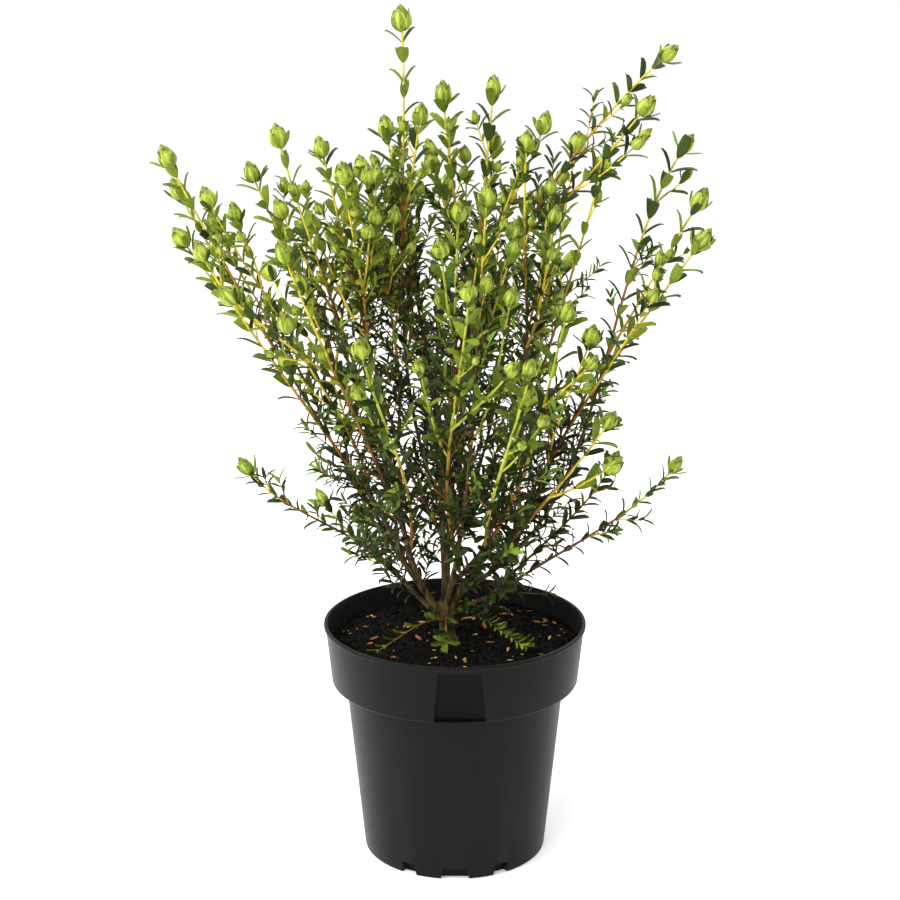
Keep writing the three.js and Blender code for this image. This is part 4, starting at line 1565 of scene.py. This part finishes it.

# The mixtures of shades that paint the leaves with shade low down, with shadow deep inside the
# crown, and with light on the left and shade on the right of the upper crown.
LOW_PAINTED_SHADE_MIXTURE = np.array([0, 0.03, 0.56, 0, 0.41])
PAINTED_SHADOW_MIXTURE = np.array([0, 0, 0.12, 0, 0.88])
PAINTED_LIGHT_MIXTURE = np.array([0.9, 0.1, 0, 0, 0])
PAINTED_SIDE_SHADE_MIXTURE = np.array([0, 0.2, 0.7, 0, 0.1])
# The most that a leaf takes on of three of them.
LOW_PAINTED_SHADE_SHARE, PAINTED_LIGHT_SHARE, PAINTED_SIDE_SHADE_SHARE = 0.95, 0.9, 0.85
# How much more often a leaf is missing low down.
LOW_MISSING = 0.2
# Where the crown begins to be low, and its painted shade, and over what distance that grows.
LOW_START, LOW_DEPTH = 475.0, 180.0
# The painted light lies to the left of the middle and the painted shade to its right, and both grow
# with height: the places where, and over what distances.
LIGHT_SIDE_MIDDLE, LIGHT_SIDE_WIDTH, LIGHT_SIDE_START, LIGHT_SIDE_DEPTH = -20.0, 130.0, 370.0, 80.0
# The painted shadow's middle from front to back, its reach, where it begins and over what distance
# it grows.
SHADOW_BACK, SHADOW_REACH, SHADOW_START, SHADOW_DEPTH = -6.0, 80.0, 455.0, 170.0


def lowness_at(place, age):
    """How low in the crown a leaf stands, from 0 to 1, counted less near the tip of its stem."""
    return clamp((LOW_START - place[2]) / LOW_DEPTH) * clamp(0.25 + 1.3 * age)


def painted_light_side_at(place):
    """Painted light on the upper crown, from 1 on the left to -1, painted shade, on the right."""
    side = max(-1.0, min(1.0, (LIGHT_SIDE_MIDDLE - place[0]) / LIGHT_SIDE_WIDTH))
    return side * clamp((place[2] - LIGHT_SIDE_START) / LIGHT_SIDE_DEPTH)


def shadow_at(place):
    """How deep inside the crown a place is, from 0 to 1: how much painted shadow its leaves take.
    """
    across = math.hypot(place[0], place[1] - SHADOW_BACK)
    depth = clamp((SHADOW_START - place[2]) / SHADOW_DEPTH)
    return clamp(1.35 - across / SHADOW_REACH) * depth


def habit_of(stem):
    """The habit of a stem's leaves."""
    if stem.kind == "sprig":
        return HABITS[stem.mass]
    strong = stem.kind == "leaf_twig" and stem.vigour > TUFT_VIGOUR
    if strong and stem.curve.at(1.0)[2] < TUFT_HEIGHT:
        return HABITS["tuft_twig"]
    return HABITS[stem.kind]


def leaf_chances(habit, age, place):
    """The chances of a leaf's five shades: by its age, and light and shade painted by its place."""
    chances = between(np.array(habit.shades[0]), np.array(habit.shades[1]), age)
    darkness = TUFT_DARKNESS if habit is HABITS["tuft_twig"] else 1.0
    # Painted shade low in the crown.
    chances = between(chances, LOW_PAINTED_SHADE_MIXTURE, LOW_PAINTED_SHADE_SHARE * lowness_at(place, age) * darkness)
    # Painted shadow deep inside the crown.
    chances = between(chances, PAINTED_SHADOW_MIXTURE, shadow_at(place) * darkness)
    # Painted light on the left of the upper crown, painted shade on its right.
    light_side = painted_light_side_at(place)
    if light_side > 0:
        return between(chances, PAINTED_LIGHT_MIXTURE, PAINTED_LIGHT_SHARE * light_side)
    return between(chances, PAINTED_SIDE_SHADE_MIXTURE, -PAINTED_SIDE_SHADE_SHARE * light_side)


def turned_up(out, along):
    """A direction across a stem, mirrored where it points down."""
    up = unit(UP - along * along[2])
    return out - 2 * min(0.0, out.dot(up)) * up


def leaf_rows(stem, random, full_length):
    """The pairs of leaves down one stem, each pair square to the one above it.

    A row holds a leaf's root, the stem's direction there, the direction in which the leaf stands
    off, and then its length, width, lean, bend, roll and shade.
    """
    habit = habit_of(stem)
    length = stem.curve.length
    bearing = 0.0 if habit.level else random.uniform(0, math.pi)
    rows = []
    below = habit.first * random.uniform(0.85, 1.15)
    grown = random.uniform(0.88, 1.12) * full_length / USUAL_LENGTH
    # On a long stem the first leaves are all young.
    young = 20 if habit.reach > 100 else 0
    while below < length - BARE_FOOT:
        age = clamp((below - young) / habit.reach)
        share = 1 - below / length
        place = stem.curve.at(share)
        along = stem.curve.along(share)
        radius = between(*stem.radii, share)
        missing = habit.missing
        if stem.kind == "sprig":
            chances = between(np.array(habit.shades[0]), np.array(habit.shades[1]), age)
        else:
            chances = leaf_chances(habit, age, place)
            missing += LOW_MISSING * lowness_at(place, age) * (stem.kind != "leafy")
        for turn in (0, math.pi):
            if random.random() < missing:
                continue
            out = turned(across_of(along), along, bearing + turn + random.normal(0, 0.16))
            if stem.kind == "sprig" and not habit.level:
                out = turned_up(out, along)
            size = between(*habit.length, age) * grown * random.uniform(0.84, 1.14)
            width = size * between(*habit.width, age) * random.uniform(0.85, 1.15)
            lean = between(*habit.lean, age) + random.normal(0, 0.13)
            bend = between(*habit.bend, age) * random.uniform(0.6, 1.5)
            shade = random.choice(5, p=chances / chances.sum())
            root = place + out * radius * 0.7
            tip = root + (along * math.cos(lean) + out * math.sin(lean)) * size
            if clear_of_pot(tip) or habit.level:
                roll = random.normal(0, 0.16)
                rows.append((*root, *along, *out, size, width, lean, bend, roll, shade))
        bearing += math.pi / 2 + random.normal(0, 0.1)
        below += between(*habit.spacing, age) * random.uniform(0.85, 1.15)
    return rows


BRACT_SHADES = (0.4, 0.45, 0.15, 0, 0)
FRESH_SHADES = (0.3, 0, 0, 0.7, 0)
# The turn from one of these bracts to the next.
BRACT_TURN = 1.72


def bud_leaf_rows(bud, random):
    """The leaf-like bracts that spread from the foot of a bud, as rows of leaves.

    On a leafy shoot they are fresher, and there are more of them.
    """
    foot, along, size, _, fresh = bud
    rows = []
    bearing = random.uniform(0, 2 * math.pi)
    for index in range(5 if fresh else random.choice([2, 3, 4], p=[0.4, 0.35, 0.25])):
        out = turned(across_of(along), along, bearing + index * BRACT_TURN + random.normal(0, 0.2))
        length = size * random.uniform(0.7, 1.0)
        lean = random.uniform(0.9, 1.2)
        bend = random.uniform(-1.25, -0.2)
        shade = random.choice(5, p=FRESH_SHADES if fresh else BRACT_SHADES)
        root = foot - along * size * 0.04 + out * size * 0.07
        width = length * random.uniform(0.27, 0.36)
        rows.append((*root, *along, *out, length, width, lean, bend, random.normal(0, 0.1), shade))
    return rows


def leaf_curves(rows, steps):
    """The midribs of many leaves, and the directions across and over each, at every step."""
    root, along, out = rows[:, 0:3], rows[:, 3:6], rows[:, 6:9]
    length, _, lean, bend, roll, _ = rows[:, 9:15].T
    fine = np.linspace(0, 1, BEND_STEPS + 1)
    hooked = np.clip((fine - HOOK_START) / (1 - HOOK_START), 0, 1) * LEAF_HOOK
    angles = lean[:, None] + bend[:, None] * fine[None] ** 1.4 + hooked[None]
    advance = np.diff(fine, prepend=0)
    forward = np.cumsum(np.cos(angles) * advance, axis=1) * length[:, None]
    outward = np.cumsum(np.sin(angles) * advance, axis=1) * length[:, None]
    picks = np.round(steps * BEND_STEPS).astype(int)
    along, out = along[:, None], out[:, None]
    middle = root[:, None] + forward[:, picks, None] * along + outward[:, picks, None] * out
    face_up = np.sin(angles[:, picks, None]) * along - np.cos(angles[:, picks, None]) * out
    side = np.cross(along, out)
    roll = roll[:, None, None]
    across = side * np.cos(roll) + face_up * np.sin(roll)
    over = face_up * np.cos(roll) - side * np.sin(roll)
    return middle, across, over


def leaf_meshes(rows, thickness, form):
    """Vertices, faces and finishes of many leaves, each a folded upper face and an underside."""
    steps, outline = form
    count = len(rows)
    width, shade = rows[:, 10], rows[:, 14]
    middle, across, over = leaf_curves(rows, steps)
    half = outline[None, :, None] * width[:, None, None] / 2
    lift = over * math.sin(LEAF_FOLD) * half
    left = middle - across * half * math.cos(LEAF_FOLD) + lift
    right = middle + across * half * math.cos(LEAF_FOLD) + lift

    def face(centre):
        """One face of every leaf: rows of three vertices, and the tip."""
        strips = np.stack([left, centre, right], axis=2)[:, :-1]
        return np.concatenate([strips.reshape(count, -1, 3), middle[:, -1:]], axis=1)

    vertices = np.concatenate([face(middle), face(middle - over * thickness)], axis=1)
    size = vertices.shape[1] // 2
    quads = grid_quads(len(steps) - 1, 3, closed=False)
    last = size - 4
    tips = np.array([[last, last + 1, size - 1], [last + 1, last + 2, size - 1]])
    offsets = np.arange(count)[:, None, None] * vertices.shape[1]
    both_quads = np.concatenate([quads, quads[:, ::-1] + size])
    both_tips = np.concatenate([tips, tips[:, ::-1] + size])
    quad_faces = (both_quads[None] + offsets).reshape(-1, 4)
    tip_faces = (both_tips[None] + offsets).reshape(-1, 3)
    under = np.repeat([0, 1], len(quads))
    quad_shades = (shade[:, None] * 2 + under[None]).reshape(-1)
    shades = np.concatenate([quad_shades, np.full(len(tip_faces), TIP_SHADE)])
    return vertices.reshape(-1, 3), [quad_faces, tip_faces], shades


def leaf_finishes(leaf):
    """Five shades of upper face and underside, and the dry tip."""
    upper, under = np.array(leaf.upper), np.array(leaf.under)
    fresh = np.array(leaf.fresh)
    pairs = {
        # The light pair is the paler green of young leaves, and is also dealt out as painted light
        # on the left of the upper crown.
        "light": (upper * (1.9, 1.75, 1.5), under * (1.25, 1.25, 1.1)),
        "plain": (upper, under),
        # The deep pair is the darker green of older leaves, and is also dealt out as painted shade
        # low in the crown and on its right.
        "deep": (upper * (0.36, 0.46, 0.95), under * (0.32, 0.39, 0.6)),
        "fresh": (fresh, fresh * (1.15, 1.1, 1.4)),
        # The dark pair is a near-black copy of the leaf colours: painted shadow, dealt out low and
        # deep inside the crown and to old twig leaves.
        "dark": (upper * (0.2, 0.22, 0.35), under * (0.17, 0.18, 0.22)),
    }
    finishes = []
    for name, (top, back) in pairs.items():
        finishes.append(living_finish(f"leaf_{name}_upper", top, 0.2, 0.5, 300, 0.3, 0.14))
        finishes.append(living_finish(f"leaf_{name}_under", back, 0.14, 0.65, 300, 0.3, 0.09))
    finishes.append(living_finish("leaf_tip", leaf.tip, 0.25, 0.6, 300))
    return finishes


# The buds

# Up the bud: how high, and how wide as a share of the widest.
BUD_STEPS = [0.0, 0.05, 0.14, 0.27, 0.4, 0.52, 0.64, 0.75, 0.85, 0.93, 1.0]
BUD_OUTLINE = [0.2, 0.46, 0.76, 0.97, 1.0, 0.92, 0.77, 0.58, 0.37, 0.18, 0.01]
# Across a bract, from edge to edge, with the ribs that stand up between.
BRACT_COLUMNS = np.array([-1, -0.88, -0.66, -0.46, -0.26, -0.06, 0.06, 0.26, 0.46, 0.66, 0.88, 1])
BRACT_RIBS = np.array([0.3, 0.0, -0.25, -0.1, -0.3, 0.4, 0.4, -0.3, -0.1, -0.25, 0.0, 0.3])
BRACT_STEPS = np.array([0.0, 0.12, 0.28, 0.45, 0.6, 0.74, 0.86, 0.95, 1.0])
BRACT_OUTLINE = np.array([0.5, 0.84, 1.0, 0.97, 0.82, 0.6, 0.36, 0.16, 0.01])
# The pairs of bracts, from the outermost in: reach, how far proud, bearing, half span and how far
# their tips stand off.
BRACT_PAIRS = [
    (0.86, 0.7, 0.0, 0.85, (0.25, 0.6)),
    (0.96, 0.4, 1.57, 0.95, (0.1, 0.35)),
    (1.03, 0.1, 0.4, 1.0, (0.0, 0.12)),
]
# The core inside the bracts: its steps, how wide it is beside the bud's outline, and its columns.
CORE_STEPS = np.array([0.0, 0.1, 0.25, 0.4, 0.55, 0.7, 0.85, 0.96])
CORE_SHARE = 0.93
CORE_COLUMNS = 12
# The finishes of a bud, in the order in which build_buds makes them.
BODY, EDGE, BUD_TIP, CORE, SHADY, PALE = range(6)
BUD_FORMS = 6
PIECE_BUDS = 110


def bud_outline(height):
    """How wide a bud is at a share of its height."""
    return np.interp(height, BUD_STEPS, BUD_OUTLINE)


def bract_shades(random):
    """A bract's face finishes: pale midrib and painted highlight, lighter edges, red-brown tip."""
    rows, columns = len(BRACT_STEPS) - 1, len(BRACT_COLUMNS) - 1
    shades = np.full((rows, columns), random.choice([BODY, SHADY], p=[0.55, 0.45]))
    middle = columns // 2
    # The broad pale middle: partly the pale midrib, partly a painted highlight on the keel.
    shades[:-3, middle - 1 : middle + 2] = PALE
    shades[:, [0, -1]] = EDGE
    shades[-2:] = BUD_TIP
    shades[-3:, [0, -1]] = BUD_TIP
    return shades.ravel()


def bud_form(random):
    """One bud of length one: a core under three pairs of pointed bracts."""
    form = Heap()
    profile = np.stack([bud_outline(CORE_STEPS) * CORE_SHARE, CORE_STEPS], axis=1)
    core, quads = lathe_arrays(profile, CORE_COLUMNS)
    form.add(core, quads, np.full(len(quads), CORE))
    quads = grid_quads(len(BRACT_STEPS), len(BRACT_COLUMNS), closed=False)
    for reach, proud, bearing, span, flares in BRACT_PAIRS:
        for turn in (0, math.pi):
            top = reach * random.uniform(0.94, 1.0)
            flare = random.uniform(*flares)
            middle = bearing + turn + random.normal(0, 0.12)
            bract = []
            for step, outline in zip(BRACT_STEPS, BRACT_OUTLINE):
                height = step * top
                stand = (0.03 + proud * 0.16) * (1 - step**2) + flare * step**6
                for column, rib in zip(BRACT_COLUMNS, BRACT_RIBS):
                    angle = middle + column * outline * span
                    radius = bud_outline(height) + stand + rib * 0.05 * outline
                    x, y = radius * math.cos(angle), radius * math.sin(angle)
                    bract.append((x, y, height - 0.02))
            form.add(np.array(bract), quads, bract_shades(random))
    return form.arrays()


# For each kind of stem: the least and most length of its bud as shares of a full one, how stout it
# is, and how much of it is below the end of the stem's curve.
BUD_SIZES = {
    "lead": (0.84, 1.04, 1.02, 0.45),
    "side": (0.74, 0.98, 1.02, 0.45),
    "second": (0.62, 0.88, 0.95, 0.2),
    "bud_twig": (0.48, 0.68, 0.85, 0.05),
    "leafy": (0.8, 0.95, 0.82, 0.05),
}


@functools.cache
def bud_list():
    """The place of each bud: foot, direction, length, girth to its length, whether it is fresh."""
    bud = bpy.context.scene.rice_flower_bud
    full, radius = bud.length / MM, bud.radius / MM
    random = np.random.default_rng(77)
    places = []
    for stem in all_stems():
        if stem.kind in BUD_SIZES:
            low, high, stout, sunk = BUD_SIZES[stem.kind]
            along = stem.curve.along(1.0)
            size = full * random.uniform(low, high)
            girth = radius / full * stout * random.uniform(0.88, 1.1)
            foot = stem.curve.at(1.0) - along * size * sunk
            places.append((foot, along, size, girth, stem.kind == "leafy"))
    return places


def build_buds(bud):
    """Every bud of the plant, in pieces of a hundred or so."""
    random = np.random.default_rng(31)
    forms = [bud_form(random) for _ in range(BUD_FORMS)]
    body, edge = np.array(bud.body), np.array(bud.edge)
    finishes = [
        living_finish("bract_green", body, 0.16, 0.46, 500, 0.35),
        living_finish("bract_edge", edge, 0.12, 0.46, 500, 0.35),
        living_finish("bract_tip", bud.tip, 0.3, 0.55, 500),
        living_finish("bud_core", body * (0.7, 0.75, 0.7), 0.16, 0.5, 500),
        living_finish("bract_shady", body * (0.6, 0.72, 0.6), 0.16, 0.46, 500, 0.35),
        # Partly the pale midrib, partly a painted highlight.
        living_finish("bract_pale_midrib_painted_highlight", (body + edge) / 2, 0.14, 0.46, 500, 0.35),
    ]
    pieces = []
    for first in range(0, len(bud_list()), PIECE_BUDS):
        buds = Heap()
        for foot, along, size, girth, _ in bud_list()[first : first + PIECE_BUDS]:
            form, quads, shades = forms[random.integers(len(forms))]
            across = turned(across_of(along), along, random.uniform(0, 2 * math.pi))
            beside = np.cross(along, across)
            around = form[:, :1] * across + form[:, 1:2] * beside
            buds.add(foot + around * size * girth + form[:, 2:] * along * size, quads, shades)
        vertices, quads, shades = buds.arrays()
        name = f"buds_{first // PIECE_BUDS + 1}"
        pieces.append(add_piece(name, vertices, [quads], finishes, shades))
    return pieces


def build_leaves(leaf):
    """Every leaf of the plant, in pieces of a few thousand leaves each."""
    random = np.random.default_rng(19)
    rows = []
    for stem in all_stems():
        rows += leaf_rows(stem, random, leaf.length / MM)
    for bud in bud_list():
        rows += bud_leaf_rows(bud, random)
    rows = np.array(rows)
    finishes = leaf_finishes(leaf)
    large = rows[:, 9] > SMALL_LENGTH
    kinds = (("large", rows[large], LARGE_LEAF), ("small", rows[~large], SMALL_LEAF))
    pieces = []
    for kind, chosen, form in kinds:
        for first in range(0, len(chosen), PIECE_LEAVES):
            part = chosen[first : first + PIECE_LEAVES]
            vertices, faces, shades = leaf_meshes(part, leaf.thickness / MM, form)
            name = f"{kind}_leaves_{first // PIECE_LEAVES + 1}"
            pieces.append(add_piece(name, vertices, faces, finishes, shades))
    return pieces


# The stage

FLOOR_HALF = 30000.0
WARM = (1, 0.985, 0.96)
WHITE = (1, 1, 1)
# The lights: place and target in metres, width, height, power as a share of the key light's, and
# colour.
LIGHTS = {
    "key": ((-0.9, -1.6, 1.9), (0, 0, 0.32), 1.6, 1.6, 1.0, WARM),
    "side": ((-1.15, -0.35, 1.5), (-0.42, 0, 0.1), 1.2, 1.2, 1.2, WARM),
    "fill": ((1.15, -0.35, 1.5), (0.45, 0, 0), 1.2, 1.2, 0.15, WHITE),
    "rim": ((0.3, 1.6, 1.7), (0, 0, 0.32), 2.0, 1.0, 0.3, WHITE),
}
CAMERA_PLACE = (-0.0034, -1.37303, 0.67186)
CAMERA_TILT = 74.48


def add_floor(stage):
    """A wide pale floor."""
    corners = np.array([(-1, -1, 0), (1, -1, 0), (1, 1, 0), (-1, 1, 0)]) * FLOOR_HALF
    finish = floor_finish("pale_floor", stage.floor, stage.glow)
    floor = add_piece("floor", corners, [np.array([[0, 1, 2, 3]])], [finish])


def add_sky(stage):
    """Even white light from all round."""
    world = bpy.data.worlds.new("studio")
    world.use_nodes = True
    background = world.node_tree.nodes["Background"]
    background.inputs["Color"].default_value = (*WHITE, 1)
    background.inputs["Strength"].default_value = stage.sky
    bpy.context.scene.world = world


def add_light(name, place, target, width, height, power, colour):
    """A soft rectangular light that faces its target."""
    lamp = bpy.data.lights.new(name, "AREA")
    lamp.shape = "RECTANGLE"
    lamp.size = width
    lamp.size_y = height
    lamp.energy = power
    lamp.color = colour
    light = bpy.data.objects.new(name, lamp)
    light.location = place
    light.rotation_euler = (Vector(target) - Vector(place)).to_track_quat("-Z", "Y").to_euler()
    bpy.context.scene.collection.objects.link(light)


def add_camera(stage):
    """The camera, in front of the plant and a little over it."""
    lens = bpy.data.cameras.new("camera")
    lens.lens = stage.lens
    lens.sensor_width = 36
    lens.clip_end = 200
    camera = bpy.data.objects.new("camera", lens)
    camera.location = CAMERA_PLACE
    camera.rotation_euler = (math.radians(CAMERA_TILT), 0, 0)
    bpy.context.scene.collection.objects.link(camera)
    bpy.context.scene.camera = camera


def build_stage(stage):
    """A wide pale floor, even soft light with a large key light at the front, and the camera."""
    add_floor(stage)
    add_sky(stage)
    for name, (place, target, width, height, share, colour) in LIGHTS.items():
        add_light(name, place, target, width, height, stage.key * share, colour)
    add_camera(stage)
    bpy.context.scene.view_settings.view_transform = "Standard"


# Operators, one for each kind of piece


class RICE_OT_pot(bpy.types.Operator):
    """Mould the black nursery pot with its collar, bare label panel and drain notches"""

    bl_idname = "rice_flower.pot"
    bl_label = "Nursery Pot"

    def execute(self, context):
        settle(build_pot(context.scene.rice_flower_pot), ["pot"])
        return {"FINISHED"}


class RICE_OT_mix(bpy.types.Operator):
    """Fill the pot with damp mix, crumbs and pale chips"""

    bl_idname = "rice_flower.mix"
    bl_label = "Potting Mix"

    def execute(self, context):
        mix = context.scene.rice_flower_mix
        pot = context.scene.rice_flower_pot
        for piece in (build_mix(mix, pot), build_crumbs(mix), build_chips(mix)):
            settle(piece, ["soil"])
        return {"FINISHED"}


class RICE_OT_wood(bpy.types.Operator):
    """Grow the trunk and the main limbs with their bark"""

    bl_idname = "rice_flower.wood"
    bl_label = "Trunk and Limbs"

    def execute(self, context):
        settle(build_wood(context.scene.rice_flower_bark), WOOD)
        return {"FINISHED"}


class RICE_OT_shoots(bpy.types.Operator):
    """Grow the shoots and their finer twigs"""

    bl_idname = "rice_flower.shoots"
    bl_label = "Shoots and Twigs"

    def execute(self, context):
        shoot = context.scene.rice_flower_shoot
        random = np.random.default_rng(8)
        stout = main_shoots() + second_shoots()
        settle(build_stems("shoots", stout, shoot, 7, random), FOLIAGE)
        settle(build_stems("twigs", finer_twigs(), shoot, 5, random), FOLIAGE)
        return {"FINISHED"}


class RICE_OT_leaves(bpy.types.Operator):
    """Set the pairs of leaves along every shoot and twig"""

    bl_idname = "rice_flower.leaves"
    bl_label = "Leaves"

    def execute(self, context):
        for piece in build_leaves(context.scene.rice_flower_leaf):
            settle(piece, FOLIAGE)
        return {"FINISHED"}


class RICE_OT_buds(bpy.types.Operator):
    """Set the green flower buds on the tips"""

    bl_idname = "rice_flower.buds"
    bl_label = "Flower Buds"

    def execute(self, context):
        for piece in build_buds(context.scene.rice_flower_bud):
            settle(piece, FOLIAGE)
        return {"FINISHED"}


class RICE_OT_stage(bpy.types.Operator):
    """Set up the pale floor, the soft light and the camera"""

    bl_idname = "rice_flower.stage"
    bl_label = "Stage"

    def execute(self, context):
        build_stage(context.scene.rice_flower_stage)
        return {"FINISHED"}


# The pieces: the name of their settings in the scene, the settings and the operator.
PARTS = (
    ("pot", RICE_PG_pot, RICE_OT_pot),
    ("mix", RICE_PG_mix, RICE_OT_mix),
    ("bark", RICE_PG_bark, RICE_OT_wood),
    ("shoot", RICE_PG_shoot, RICE_OT_shoots),
    ("leaf", RICE_PG_leaf, RICE_OT_leaves),
    ("bud", RICE_PG_bud, RICE_OT_buds),
    ("stage", RICE_PG_stage, RICE_OT_stage),
)


class RICE_PT_sidebar(bpy.types.Panel):
    """Lists the pieces of the potted plant with their settings"""

    bl_idname = "RICE_PT_sidebar"
    bl_label = "Potted Rice Flower"
    bl_space_type = "VIEW_3D"
    bl_region_type = "UI"
    bl_category = "Rice Flower"

    def draw(self, context):
        """Draws a box for each piece, with its button and its settings."""
        for name, group, operator in PARTS:
            box = self.layout.box()
            box.operator(operator.bl_idname)
            for setting in group.__annotations__:
                box.prop(getattr(context.scene, f"rice_flower_{name}"), setting)


def register():
    """Adds the settings, operators and sidebar to Blender."""
    for name, group, operator in PARTS:
        bpy.utils.register_class(group)
        bpy.utils.register_class(operator)
        setattr(bpy.types.Scene, f"rice_flower_{name}", PointerProperty(type=group))
    bpy.utils.register_class(RICE_PT_sidebar)


def unregister():
    """Takes them out again."""
    bpy.utils.unregister_class(RICE_PT_sidebar)
    for name, group, operator in reversed(PARTS):
        delattr(bpy.types.Scene, f"rice_flower_{name}")
        bpy.utils.unregister_class(operator)
        bpy.utils.unregister_class(group)


def main():
    """Builds every piece in turn."""
    register()
    bpy.ops.rice_flower.stage()
    bpy.ops.rice_flower.pot()
    bpy.ops.rice_flower.mix()
    bpy.ops.rice_flower.wood()
    bpy.ops.rice_flower.shoots()
    bpy.ops.rice_flower.leaves()
    bpy.ops.rice_flower.buds()


if __name__ == "__main__":
    main()
